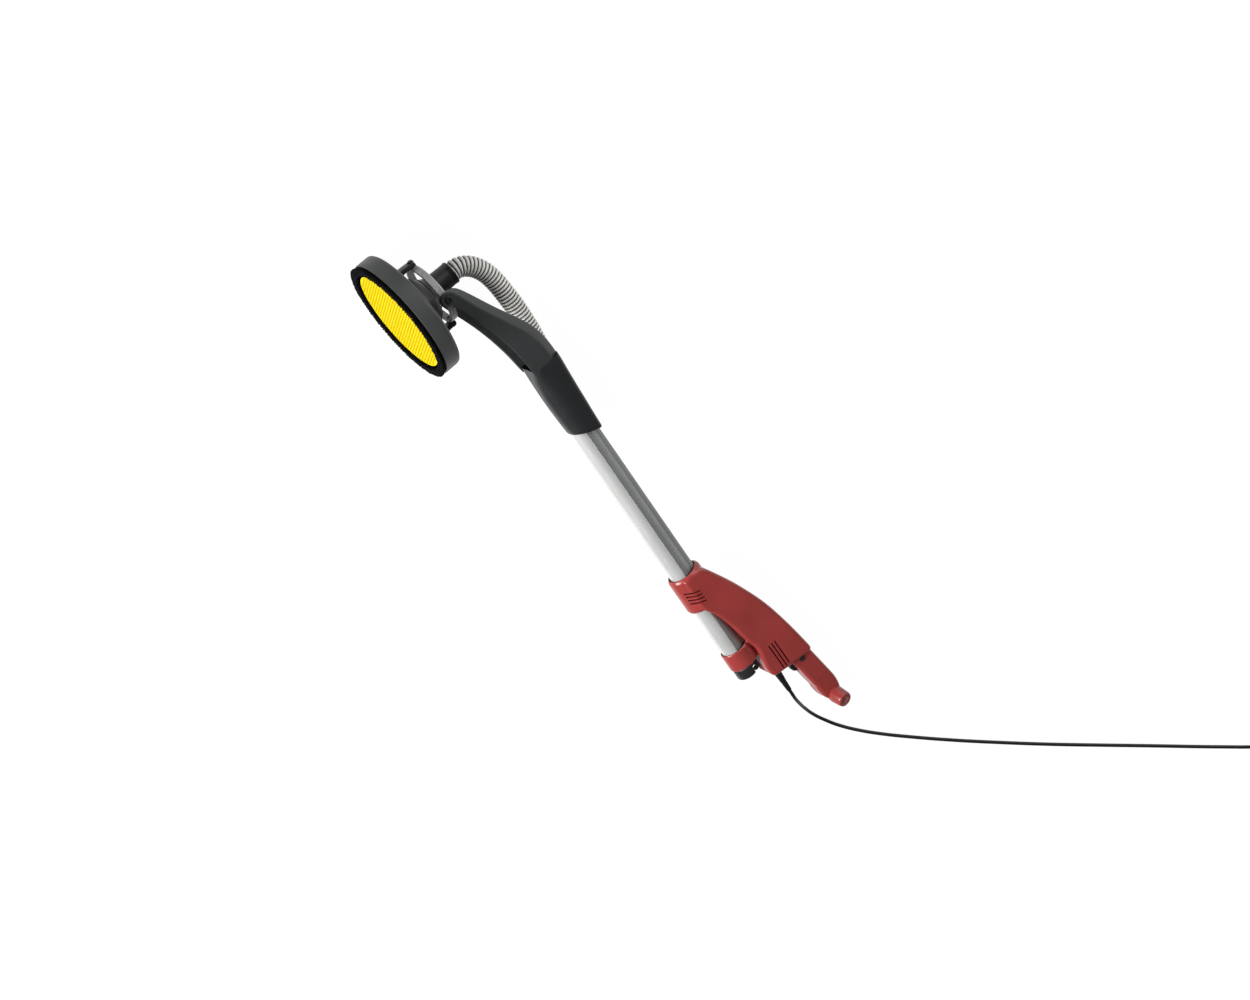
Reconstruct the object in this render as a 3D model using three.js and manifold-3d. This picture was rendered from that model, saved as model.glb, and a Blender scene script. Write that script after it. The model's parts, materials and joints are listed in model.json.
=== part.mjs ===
// Pole drywall sander, lying on its side on a floor. Millimetres, +Z up.
// The tool is modelled in its own frame and then laid down: u runs along the pole from the head to the grip,
// v is the head's axis and points away from the abrasive face, w is across, and u x v = w.
// The tool frame's origin is the centre of the abrasive face.

import * as THREE from 'three';
import { mergeVertices } from 'three/addons/utils/BufferGeometryUtils.js';
import Module from 'manifold-3d';

const wasm = await Module();
wasm.setup();

// ---------------------------------------------------------------- driving dimensions

const GAP = 0.3; // between touching pieces

// The pose of the tool on the floor: it rests on the hood's rim, a fork arm and the motor housing.
const LIE_PITCH = -2.3; // degrees, the pole's slope
const LIE_ROLL = -29.26; // degrees, about the pole, so that the abrasive face looks a little upwards

// Head
const DISC_R = 112.5;
const DISC_T = 1.5;
const PAD_T = 8;
const HOOD_R = 137;
const HOOD_TOP = 43;
const HOOD_LIP = 4;
const WALL = 2.6;
const BRUSH_TIP = -6;
const PIVOT_V = 88; // height of the gimbal's two axes above the abrasive face
const RING_R = 65;
const RING_H = 15;
const BRACKET_U = 73; // where the roll brackets stand, from the head's axis
const GEAR_PITCH_R = 24;
const PINION_PITCH_R = 6;
const PINION_U = GEAR_PITCH_R + PINION_PITCH_R;
const SLEEVE_U = -8;
const SLEEVE_TOP = 146;
const HOSE_R = 21.5;

// Fork and neck
const FORK_W = 80; // outside of an arm at the pitch axis, from the middle
const FORK_TAPER = 0.168; // how fast an arm closes in along u
const ARM_T = 4;
const SHELL_U0 = 262;
const SHELL_U1 = 428;
const SHELL_W = 35;

// Pole
const POLE_V = 180; // middle of the round lobe that holds the suction duct
const POLE_R = 25;
const POLE_U0 = 290;
const POLE_U1 = 1112;
const DUCT_R = 20.3;
const DUCT_SHIFT = -1.6; // of the duct's middle from the lobe's
const CHANNEL_V = 205.5; // middle of the channel for the drive's flexible shaft
const SOCKET_V = 178;

// Motor and housing
const BODY_W = 35;
const GRIP_W = 22;
const KNOB_AT = new THREE.Vector3(1313.5, 307.3, 12); // where the end knob's axis starts
const KNOB_AXIS = new THREE.Vector3(0.35, 0.08, 0.93).normalize();
const MOTOR_AT = new THREE.Vector3(925, 233, 0); // front end of the motor's axis
const MOTOR_TILT = 12; // degrees, between the motor's axis and the pole
const STATOR_R = 28.5;

// Mains lead
const RELIEF_V = 232;
const LEAD_D = 8;
const COIL_R = 46; // at the middle of the turns
const COIL_T = 25; // across the bundle, three turns each way
const TIE_T = 1.2;
const COIL_AT = new THREE.Vector3(1382, 945.5, COIL_T / 2 + TIE_T + 3 * GAP);
const PLUG_AT = new THREE.Vector3(1337, 1016.5, 18.6); // where the lead enters the plug
const PLUG_TURN = 155.4; // degrees, the plug's heading on the floor

// ---------------------------------------------------------------- materials

function material(color, roughness, metalness = 0) {
  return new THREE.MeshStandardMaterial({ color, roughness, metalness });
}

const YELLOW = material(0xe8cf12, 0.85);
const FOAM = material(0x6f7376, 0.95);
const STEEL = material(0xb4b7ba, 0.32, 1);
const BRASS = material(0xb08d57, 0.4, 1);
const COPPER = material(0xa8623a, 0.45, 0.9);
const LAMINATION = material(0x5b5f63, 0.5, 0.9);
const BLACK = material(0x202224, 0.5);
const CHARCOAL = material(0x303335, 0.48);
const BRISTLE = material(0x111213, 0.95);
const RUBBER = material(0x161718, 0.75);
const CAST = material(0xa4a6a8, 0.42, 0.8);
const ALUMINIUM = material(0xc6c8ca, 0.35, 1);
const HOSE_GREY = material(0xbdbbb6, 0.55);
const RED = material(0x96322f, 0.42);
const GREY = material(0x8e9192, 0.5);

// ---------------------------------------------------------------- shape helpers

/** A closed mesh as a solid, turned so that its faces point out. */
function solid(geometry) {
  const bare = geometry.clone();
  bare.deleteAttribute('normal');
  bare.deleteAttribute('uv');
  const merged = mergeVertices(bare, 1e-4);
  const place = merged.attributes.position.array;
  const index = merged.index.array;
  const corners = [new THREE.Vector3(), new THREE.Vector3(), new THREE.Vector3()];
  const triangles = [];
  let volume = 0;
  for (let i = 0; i < index.length; i += 3) {
    const [a, b, c] = [index[i], index[i + 1], index[i + 2]];
    if (a === b || b === c || c === a) continue;
    [a, b, c].forEach((vertex, k) => corners[k].fromArray(place, 3 * vertex));
    volume += corners[0].dot(corners[1].clone().cross(corners[2]));
    triangles.push(a, b, c);
  }
  if (volume < 0) triangles.reverse();
  return new wasm.Manifold(new wasm.Mesh({
    numProp: 3,
    vertProperties: Float32Array.from(place),
    triVerts: Uint32Array.from(triangles),
  }));
}

function geometryOf(manifold) {
  const mesh = manifold.getMesh();
  const geometry = new THREE.BufferGeometry();
  geometry.setAttribute('position', new THREE.BufferAttribute(new Float32Array(mesh.vertProperties), 3));
  geometry.setIndex(new THREE.BufferAttribute(new Uint32Array(mesh.triVerts), 1));
  geometry.computeVertexNormals();
  return geometry;
}

function joined(...solids) {
  return solids.reduce((all, next) => all.add(next));
}

function cut(body, ...tools) {
  return tools.reduce((rest, tool) => rest.subtract(tool), body);
}

/** A turned solid about v. The profile is a list of [radius, v]. */
function turned(profile, segments = 24, u = 0, w = 0) {
  const points = profile.map(([r, v]) => new THREE.Vector2(r, v));
  const onAxis = profile[0][0] === 0 && profile.at(-1)[0] === 0;
  if (!onAxis) points.push(points[0].clone());
  return solid(new THREE.LatheGeometry(points, segments).translate(u, 0, w));
}

/** A plain or bored cylinder about v. */
function cylinderV(r, v0, v1, segments = 24, u = 0, w = 0, bore = 0) {
  return turned([[bore, v0], [r, v0], [r, v1], [bore, v1]], segments, u, w);
}

/** A plain or bored cylinder about u. */
function cylinderU(r, u0, u1, segments = 16, v = 0, w = 0, bore = 0) {
  const points = [[bore, u0], [r, u0], [r, u1], [bore, u1]].map(([x, y]) => new THREE.Vector2(x, y));
  if (bore > 0) points.push(points[0].clone());
  return solid(new THREE.LatheGeometry(points, segments).rotateZ(-Math.PI / 2).translate(0, v, w));
}

/** A plain or bored cylinder about w. */
function cylinderW(r, w0, w1, segments = 16, u = 0, v = 0, bore = 0) {
  const points = [[bore, w0], [r, w0], [r, w1], [bore, w1]].map(([x, y]) => new THREE.Vector2(x, y));
  if (bore > 0) points.push(points[0].clone());
  return solid(new THREE.LatheGeometry(points, segments).rotateX(Math.PI / 2).translate(u, v, 0));
}

function block(u0, u1, v0, v1, w0, w1) {
  const box = new THREE.BoxGeometry(u1 - u0, v1 - v0, w1 - w0);
  return solid(box.translate((u0 + u1) / 2, (v0 + v1) / 2, (w0 + w1) / 2));
}

/** A closed outline of [u, v, corner radius] as a shape. */
function outline(corners) {
  const shape = new THREE.Shape();
  corners.forEach(([u, v, radius = 0], i) => {
    const here = new THREE.Vector2(u, v);
    const before = corners.at(i - 1);
    const after = corners[(i + 1) % corners.length];
    const back = new THREE.Vector2(before[0], before[1]).sub(here);
    const on = new THREE.Vector2(after[0], after[1]).sub(here);
    const start = here.clone().addScaledVector(back, Math.min(0.45, radius / back.length()));
    const end = here.clone().addScaledVector(on, Math.min(0.45, radius / on.length()));
    if (i === 0) shape.moveTo(start.x, start.y);
    else shape.lineTo(start.x, start.y);
    if (radius > 0) shape.quadraticCurveTo(u, v, end.x, end.y);
  });
  shape.closePath();
  return shape;
}

/** An outline in u and v pressed out across w, with an optional rounded edge inside the outline. */
function pressed(shape, w0, w1, round = 0, shrink = 0, curveSegments = 2) {
  const geometry = new THREE.ExtrudeGeometry(shape, {
    depth: w1 - w0 - 2 * round,
    curveSegments,
    bevelEnabled: round > 0 || shrink > 0,
    bevelThickness: Math.max(round, 2e-3),
    bevelSize: round,
    bevelOffset: -round - shrink,
    bevelSegments: 1,
  });
  return solid(geometry.translate(0, 0, w0 + round));
}

/** An oval about u, as a shape in the plane of v and w. */
function ovalShape(halfV, halfW, segments = 20) {
  const shape = new THREE.Shape();
  for (let i = 0; i < segments; i += 1) {
    const angle = (2 * Math.PI * i) / segments;
    const point = [halfV * Math.cos(angle), halfW * Math.sin(angle)];
    if (i === 0) shape.moveTo(...point);
    else shape.lineTo(...point);
  }
  shape.closePath();
  return shape;
}

/** A shape in the plane of v and w, pressed out along u. */
function alongU(shape, u0, u1, v = 0, w = 0) {
  const geometry = new THREE.ExtrudeGeometry(shape, { depth: u1 - u0, bevelEnabled: false, curveSegments: 4 });
  // The shape's x becomes v, its y becomes w and its depth becomes u.
  const turn = new THREE.Matrix4().makeBasis(
    new THREE.Vector3(0, 1, 0), new THREE.Vector3(0, 0, 1), new THREE.Vector3(1, 0, 0));
  return solid(geometry.applyMatrix4(turn).translate(u0, v, w));
}

function circle(radius, segments) {
  return ovalShape(radius, radius, segments);
}

/** A round rod along a smooth curve through the given points. */
function rod(points, radius, sides, steps) {
  const curve = new THREE.CatmullRomCurve3(points.map((p) => new THREE.Vector3(...p)), false, 'centripetal');
  return new THREE.ExtrudeGeometry(circle(radius, sides), { steps, extrudePath: curve });
}

/** A spur gear about v, with plain tapered teeth. */
function gear(teeth, pitchR, v0, v1, u, turn, bore) {
  const shape = new THREE.Shape();
  const step = (2 * Math.PI) / teeth;
  const [root, tip] = [pitchR - 1.5, pitchR + 0.6];
  for (let i = 0; i < teeth; i += 1) {
    const at = turn + i * step;
    [[root, -0.3], [tip, -0.16], [tip, 0.16], [root, 0.3]].forEach(([r, share], k) => {
      const angle = at + share * step;
      const point = [r * Math.cos(angle), r * Math.sin(angle)];
      if (i === 0 && k === 0) shape.moveTo(...point);
      else shape.lineTo(...point);
    });
  }
  shape.closePath();
  if (bore > 0) shape.holes.push(new THREE.Path(circle(bore, 12).getPoints().reverse()));
  const geometry = new THREE.ExtrudeGeometry(shape, { depth: v1 - v0, bevelEnabled: false });
  return solid(geometry.rotateX(-Math.PI / 2).translate(u, v0, 0));
}

function add(group, name, shape, look) {
  const geometry = shape.isBufferGeometry ? shape : geometryOf(shape);
  const mesh = new THREE.Mesh(geometry, look);
  mesh.name = name;
  group.add(mesh);
}

// ---------------------------------------------------------------- sanding head

function sandingPad(head) {
  add(head, 'abrasive_disc', cylinderV(DISC_R, 0, DISC_T, 36), YELLOW);
  const foam0 = DISC_T + GAP;
  add(head, 'pad_foam', cylinderV(DISC_R - 1, foam0, foam0 + PAD_T, 36, 0, 0, 15), FOAM);
  const plate0 = foam0 + PAD_T + GAP;
  add(head, 'pad_plate', turned([[7, plate0], [108, plate0], [108, plate0 + 3], [20, plate0 + 4], [7, plate0 + 4]],
    32), BLACK);
  const flange0 = plate0 + 4 + GAP;
  add(head, 'spindle', turned([[0, flange0], [13, flange0], [13, flange0 + 4], [6, flange0 + 4], [6, 67], [0, 67]],
    20), STEEL);
  add(head, 'pad_screw', turned([[0, 3.5], [11, 3.5], [11, plate0 - GAP], [4, plate0 - GAP], [4, flange0 - GAP],
    [0, flange0 - GAP]], 16), STEEL);
}

function gearbox(head) {
  const floor = HOOD_TOP + GAP;
  const room = outline([[-28, -28, 20], [20, -28, 14], [44, -12, 10], [44, 12, 10], [20, 28, 14], [-28, 28, 20]]);
  const upright = (shape, v0, v1, shrink = 0) => {
    const geometry = new THREE.ExtrudeGeometry(shape, {
      depth: v1 - v0, curveSegments: 3, bevelEnabled: shrink > 0, bevelThickness: 1e-3, bevelSize: 0,
      bevelOffset: -shrink, bevelSegments: 1,
    });
    return solid(geometry.rotateX(-Math.PI / 2).translate(0, v0, 0));
  };
  const casing = cut(upright(room, floor, 64),
    upright(room, 53, 65, 3),
    cylinderV(6.6, 30, 60, 20),
    cylinderV(15.3, floor - 1, 50.3, 24),
    cylinderV(3.9, 46, 60, 12, PINION_U));
  add(head, 'gearbox_case', casing, CAST);
  add(head, 'gearbox_lid', cut(upright(room, 64 + GAP, 67.5),
    cylinderV(6.6, 60, 70, 20), cylinderV(4.6, 60, 70, 12, PINION_U)), CAST);
  add(head, 'spindle_bearing', cylinderV(15, floor, 50, 24, 0, 0, 6.3), STEEL);
  add(head, 'spindle_gear', gear(32, GEAR_PITCH_R, 54.5, 61.5, 0, 0, 6.3), STEEL);
  // One pinion tooth stands in the gap between two teeth of the spindle gear.
  const pinion = joined(gear(8, PINION_PITCH_R, 54.5, 61.5, PINION_U, Math.PI + Math.PI / 8, 0),
    cylinderV(3.5, 47, 70.5, 12, PINION_U));
  add(head, 'pinion', pinion, STEEL);
}

function suctionDome(head) {
  const skin = [[60, HOOD_TOP + GAP], [60, 49], [56, 62], [48, 74], [40, 80], [0, 80]];
  const outer = turned([[0, HOOD_TOP + GAP], ...skin], 24);
  const inner = turned([[0, 40], [57.5, 40], [57.5, 49], [53.5, 61], [46, 72], [38.5, 77.5], [0, 77.5]], 24);
  const dome = cut(outer, inner, cylinderV(19.5, 70, 90, 24, SLEEVE_U), cylinderV(8.4, 70, 90, 16, PINION_U + 0.5));
  add(head, 'suction_dome', dome, GREY);
  add(head, 'flex_ferrule', turned([[5.2, 71], [7.6, 71], [7.6, 84], [6.6, 88], [5.2, 88]], 16, PINION_U + 0.5),
    BRASS);
  const base = 80 + GAP;
  add(head, 'suction_sleeve', turned([[20, base], [25.5, base], [25.5, base + 5], [24, base + 8],
    [23.2, SLEEVE_TOP], [20, SLEEVE_TOP]], 28, SLEEVE_U), RUBBER);
}

function hoodAndBrush(head) {
  const inner = HOOD_R - WALL;
  const under = HOOD_TOP - WALL;
  const shell = turned([[58, HOOD_TOP], [128, HOOD_TOP], [134.5, 40.5], [HOOD_R, 34], [HOOD_R, HOOD_LIP],
    [inner, HOOD_LIP], [inner, 33], [132, 38], [127, under], [58, under]], 36);
  const hub = cylinderV(30, under, HOOD_TOP, 24, 0, 0, 8);
  const ribs = [0, 1, 2].map((i) => {
    const rib = new THREE.BoxGeometry(36, WALL, 9).translate(43, HOOD_TOP - WALL / 2, 0);
    return solid(rib.rotateY((2 * Math.PI * i) / 3 + Math.PI / 3));
  });
  add(head, 'dust_hood', joined(shell, hub, ...ribs), CHARCOAL);
  add(head, 'brush_carrier', cylinderV(133.4, 8 + GAP, 14, 36, 0, 0, 123), BLACK);
  add(head, 'bristle_ring', turned([[122, BRUSH_TIP], [137.5, BRUSH_TIP], [137.5, -2.6], [133.6, -1.8], [133.6, 8],
    [124, 8]], 36), BRISTLE);
  for (let i = 0; i < 3; i += 1) {
    const angle = (2 * Math.PI * i) / 3 + Math.PI / 6;
    const [u, w] = [128.2 * Math.cos(angle), 128.2 * Math.sin(angle)];
    const turns = 5;
    const helix = [];
    for (let k = 0; k <= turns * 6; k += 1) {
      const a = (2 * Math.PI * k) / 6;
      helix.push([u + 2.7 * Math.cos(a), 15.6 + (k / (turns * 6)) * 19.6, w + 2.7 * Math.sin(a)]);
    }
    add(head, `brush_spring_${i + 1}`, rod(helix, 0.6, 4, turns * 6), STEEL);
  }
}

function rollBrackets(head) {
  for (const [name, side] of [['front', -1], ['rear', 1]]) {
    const post = outline([[66, HOOD_TOP + GAP, 3], [88, HOOD_TOP + GAP, 3], [88, 52, 4], [84, 92, 7], [BRACKET_U, 96, 8],
      [BRACKET_U - 2, 82, 4], [78, 76, 3], [79, 56, 4], [70, 52, 4]].map(([u, v, r]) => [side * u, v, r]));
    const boss = cylinderU(8, Math.min(side * 72, side * 86), Math.max(side * 72, side * 86), 16, PIVOT_V);
    const body = cut(joined(pressed(post, -7, 7), boss), cylinderU(3.4, -99, 99, 12, PIVOT_V));
    add(head, `roll_bracket_${name}`, body, CHARCOAL);
    const [pin0, pin1] = [60.5, 84].map((u) => side * u);
    const pin = joined(cylinderU(3.1, Math.min(pin0, pin1), Math.max(pin0, pin1), 12, PIVOT_V),
      cylinderU(6, Math.min(side * 86.3, side * 90), Math.max(side * 86.3, side * 90), 12, PIVOT_V),
      cylinderU(3.1, Math.min(side * 80, side * 88), Math.max(side * 80, side * 88), 12, PIVOT_V));
    add(head, `roll_pin_${name}`, pin, STEEL);
  }
}

function gimbal(tool) {
  const band = turned([[RING_R - 2.5, PIVOT_V - RING_H / 2], [RING_R + 2.5, PIVOT_V - RING_H / 2],
    [RING_R + 3.5, PIVOT_V], [RING_R + 2.5, PIVOT_V + RING_H / 2], [RING_R - 2.5, PIVOT_V + RING_H / 2]], 28);
  const bosses = [1, -1].map((side) => {
    const ends = [RING_R, FORK_W - ARM_T - 1].map((w) => side * w);
    return cylinderW(8.5, Math.min(...ends), Math.max(...ends), 16, 0, PIVOT_V);
  });
  const ring = cut(joined(band, ...bosses), cylinderW(3.6, -99, 99, 12, 0, PIVOT_V),
    cylinderU(3.5, -99, 99, 12, PIVOT_V));
  add(tool, 'gimbal_ring', ring, CAST);
}

// ---------------------------------------------------------------- fork and neck

const ARM_OUTLINE = [[-13, 84, 5], [-11, 100, 6], [-2, 121, 6], [10, 127, 4], [39, 145, 8], [92, 170, 10],
  [143, 193, 14], [197, 207, 12], [261, 215], [261.7, 159], [180, 144, 14], [110, 120, 10], [45, 88, 8],
  [8, 74, 8], [-8, 74, 6]];

/** Slides each vertex across w by the arm's taper. */
function tapered(geometry, side) {
  const place = geometry.attributes.position;
  for (let i = 0; i < place.count; i += 1) {
    place.setZ(i, side * (place.getZ(i) - FORK_TAPER * place.getX(i)));
  }
  return geometry;
}

function forkArms(tool) {
  const web = outline(ARM_OUTLINE);
  const ridge = ARM_OUTLINE.slice(3, 9);
  const flange = outline([...ridge, ...ridge.map(([u, v, r]) => [u + 0.5, v - 4, r]).reverse()]);
  for (const [name, side] of [['right', 1], ['left', -1]]) {
    const options = { bevelEnabled: false, curveSegments: 3 };
    const plate = new THREE.ExtrudeGeometry(web, { ...options, depth: ARM_T }).translate(0, 0, FORK_W - ARM_T);
    const edge = new THREE.ExtrudeGeometry(flange, { ...options, depth: 12 }).translate(0, 0, FORK_W - 12.5);
    let arm = joined(solid(tapered(plate, side)), solid(tapered(edge, side)));
    // The pivot stands square to the pitch axis in a round pad.
    const pad = [FORK_W - ARM_T - 1.5, FORK_W + 1.5].map((w) => side * w);
    arm = joined(arm, cylinderW(13, Math.min(...pad), Math.max(...pad), 20, 0, PIVOT_V));
    arm = cut(arm, cylinderW(4.3, -99, 99, 12, 0, PIVOT_V),
      cylinderW(14, Math.min(side * 60, side * (FORK_W - ARM_T - 0.7)), Math.max(side * 60, side * (FORK_W - ARM_T - 0.7)),
        20, 0, PIVOT_V));
    add(tool, `fork_arm_${name}`, arm, CHARCOAL);
    const stem = [61, FORK_W + 1.5 + GAP].map((w) => side * w);
    const cap = [FORK_W + 1.5 + GAP, FORK_W + 4.5].map((w) => side * w);
    add(tool, `pitch_screw_${name}`, joined(cylinderW(3.2, Math.min(...stem), Math.max(...stem), 12, 0, PIVOT_V),
      cylinderW(7, Math.min(...cap), Math.max(...cap), 16, 0, PIVOT_V)), STEEL);
  }
}

/** The pole's section: a round lobe, and on it a narrower channel with sloping sides. */
function poleSection(spare = 0) {
  const half = [[32 + spare, 11 + spare / 2], [30 + spare, 13.3 + spare], [17.2, 17.2 + spare], [16.2, 18.6 + spare]];
  const lobe = [];
  for (let angle = 84; angle <= 180; angle += 12) {
    const turn = THREE.MathUtils.degToRad(angle);
    lobe.push([(POLE_R + spare) * Math.cos(turn), (POLE_R + spare) * Math.sin(turn)]);
  }
  const side = [...half, ...lobe];
  const other = side.slice(0, -1).reverse().map(([v, w]) => [v, -w]);
  return outline([...side, ...other]);
}

/** Room for the pole, a little larger than its section. */
function poleRoom(u0, u1, spare = GAP) {
  return alongU(poleSection(spare), u0, u1, POLE_V);
}

const FLEX_ROUTE = [[923, 232.4, 0], [905, 228, 0], [875, 217, 0], [845, 208.5, 0], [800, CHANNEL_V, 0],
  [700, CHANNEL_V, 0], [550, CHANNEL_V, 0], [420, CHANNEL_V, 0], [385, CHANNEL_V, 0], [355, 206, -4],
  [325, 206, -15], [295, 203, -25], [262, 197, -26.8], [228, 184, -25], [185, 166, -20], [140, 151, -14],
  [95, 138, -7], [62, 126, -2], [43, 112, 0], [33, 99, 0], [PINION_U + 0.5, 89, 0]];

function neck(tool) {
  // Seen from the side it narrows to an oblique end; its underside is round like the pole.
  const side = outline([[SHELL_U0, 154, 3], [330, 150.5, 20], [400, 151, 20], [SHELL_U1, 155, 4], [SHELL_U1 + 20, 212, 8],
    [SHELL_U1 + 12, 219, 4], [SHELL_U0, 227, 3]]);
  const round = joined(alongU(ovalShape(37, SHELL_W, 28), 200, 500, 187.5), block(200, 500, 187.5, 240, -SHELL_W, SHELL_W));
  const skin = pressed(side, -SHELL_W, SHELL_W).intersect(round);
  const inner = joined(alongU(ovalShape(34.4, SHELL_W - WALL, 28), 200, 500, 187.5),
    block(200, 500, 187.5, 240, -SHELL_W + WALL, SHELL_W - WALL));
  const room = pressed(outline([[200, 140], [424, 140], [424, 216, 3], [330, 221, 3], [200, 224]]),
    -SHELL_W + WALL, SHELL_W - WALL).intersect(inner);
  const pole = poleRoom(300, 500);
  const rearWall = block(424, 440, 120, 240, -60, 60);
  const shell = joined(cut(skin, room), skin.intersect(rearWall)).subtract(pole);
  for (const [name, keep] of [['right', [GAP / 2, 60]], ['left', [-60, -GAP / 2]]]) {
    add(tool, `neck_shell_${name}`, shell.intersect(block(200, 500, 100, 260, ...keep)), BLACK);
  }
  // A cast saddle grips the pole inside the shell and carries the fork.
  const saddle = cut(block(352, 418, 188, 208, -32, 32), poleRoom(340, 430));
  for (const [name, keep] of [['right', [10, 32]], ['left', [-32, -10]]]) {
    add(tool, `neck_saddle_${name}`, saddle.intersect(block(300, 500, 100, 260, ...keep)), CAST);
  }
}

function suctionHose(tool) {
  const route = [[SLEEVE_U, SLEEVE_TOP + GAP, 0], [SLEEVE_U, 152, 0], [-6, 163, 0], [2, 177, 0], [17, 191, 0], [38, 202, 0], [68, 209, 0],
    [105, 212, 0], [150, 213.5, 0], [195, 212, 0], [230, 208.5, 0], [252, 204, 0]];
  add(tool, 'suction_hose', solid(rod(route, HOSE_R, 12, 16)).subtract(solid(rod(
    [[SLEEVE_U, 140, 0], ...route, [275, 197, 0]], HOSE_R - 3.5, 8, 18))), HOSE_GREY);
  const bend = [[258.6, 201.4, 0], [267, 195, 0], [277, 186, 0], [282, 181.8, 0], [POLE_U0 - 2, 181.2, 0]];
  add(tool, 'duct_elbow', solid(rod(bend, 17, 16, 6)).subtract(solid(rod(
    [[245, 208, 0], ...bend, [302, 180, 0]], 14.5, 12, 8))), BLACK);
}

// ---------------------------------------------------------------- pole and drive

function pole(tool) {
  const section = poleSection();
  const duct = new THREE.Path(circle(DUCT_R, 20).getPoints().map((p) => new THREE.Vector2(p.x + DUCT_SHIFT, p.y)).reverse());
  const channel = new THREE.Path();
  channel.moveTo(20.6, -9);
  channel.lineTo(20.6, 9);
  channel.lineTo(30.4, 7.5);
  channel.lineTo(30.4, -7.5);
  channel.closePath();
  section.holes.push(duct, channel);
  const tube = cut(alongU(section, POLE_U0, POLE_U1, POLE_V),
    block(POLE_U0 - 1, 372, POLE_V + 19.5, 230, -25, 25),
    block(800, 905, POLE_V + 20.6, 230, -6.6, 6.6));
  add(tool, 'pole_tube', tube, ALUMINIUM);
  // The bayonet notch runs in from the socket's end and then turns, beside the bore for the vacuum hose.
  const notch = [SOCKET_V + 12, SOCKET_V + 30];
  const socket = cut(alongU(ovalShape(POLE_R, POLE_R), POLE_U1 + GAP, POLE_U1 + 25, SOCKET_V),
    cylinderU(19.5, POLE_U1 - 5, POLE_U1 + 40, 24, SOCKET_V),
    block(POLE_U1 + 11, POLE_U1 + 30, ...notch, 5, 11),
    block(POLE_U1 + 11, POLE_U1 + 17, ...notch, -5, 11));
  add(tool, 'end_socket', socket, CHARCOAL);
}

function flexibleShaft(tool) {
  add(tool, 'flex_shaft', solid(rod(FLEX_ROUTE, 4.5, 8, 44)), RUBBER);
}

// ---------------------------------------------------------------- motor housing

const BODY = [[847, 214, 10], [864, 225, 8], [928, 256, 30], [1015, 289, 40], [1100, 307, 40], [1182, 319, 12],
  [1182, 300, 8], [1178, 262, 8], [1170, 212, 10], [1145, 208, 10], [1090, 217, 14], [1061, 208, 14], [1002, 197, 20],
  [957, 184, 12], [925, 176, 12], [850, 180, 12]];
const GRIP = [[1120, 304, 10], [1172, 316, 20], [1227, 323.5, 20], [1285, 331, 14], [1314, 326, 10], [1323, 303, 10],
  [1300, 284, 10], [1280, 281, 8], [1243, 276, 10], [1209, 272, 8], [1192, 263, 8], [1176, 258, 6], [1120, 258, 10]];

function housingOuter() {
  const body = pressed(outline(BODY), -BODY_W, BODY_W, 3);
  const grip = pressed(outline(GRIP), -GRIP_W, GRIP_W, 3);
  const upperCollar = alongU(ovalShape(39.3, BODY_W), 845, 934, 185.8);
  const lowerCollar = alongU(ovalShape(35.5, 30), 1064, POLE_U1 - 1, 186);
  const web = pressed(outline([[1072, 205], [POLE_U1 - 1, 200], [POLE_U1 - 1, 219], [1075, 225]]), -13, 13);
  return joined(body, grip, upperCollar, lowerCollar, web);
}

function housingRoom() {
  const body = pressed(outline(BODY), -BODY_W + WALL, BODY_W - WALL, 0, WALL, 1);
  const grip = pressed(outline(GRIP), -GRIP_W + WALL, GRIP_W - WALL, 0, WALL, 1);
  const passage = block(1110, 1190, 268, 305, -18, 18);
  const flexWay = joined(block(800, 900, 208, 224, -7.5, 7.5), block(880, 945, 214, 242, -8.5, 8.5));
  const triggerWay = block(1188, 1216, 262, 285, -7.6, 7.6);
  const leadWay = cylinderU(7.2, 1150, 1200, 16, RELIEF_V);
  const knobWay = cylinderW(6, 10, 40, 12, KNOB_AT.x, KNOB_AT.y);
  const lockWay = cylinderW(6.4, 10, 40, 16, 1190, 290);
  return { body: joined(cut(body, block(800, 1400, 100, 216, -60, 60).intersect(poleRoom(800, 1200, 6))), grip, passage,
    knobWay), ways: [flexWay, triggerWay, leadWay, lockWay] };
}

function vents() {
  const slots = [];
  for (let i = 0; i < 4; i += 1) {
    const u = 879 + 9 * i;
    slots.push(block(u, u + 3.2, 158, 187, -60, 60));
  }
  for (let i = 0; i < 3; i += 1) {
    const v = 238 + 8.3 * i;
    slots.push(block(1103, 1168, v, v + 3, -60, 60));
  }
  return slots;
}

function motorHousing(tool) {
  const room = housingRoom();
  const shell = cut(housingOuter(), room.body, ...room.ways, poleRoom(800, 1200), ...vents());
  for (const [name, keep] of [['right', [GAP / 2, 60]], ['left', [-60, -GAP / 2]]]) {
    const half = shell.intersect(block(800, 1400, 100, 400, ...keep));
    const pieces = half.decompose();
    pieces.sort((a, b) => b.volume() - a.volume());
    add(tool, `housing_${name}`, pieces[0], RED);
  }
}

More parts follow.
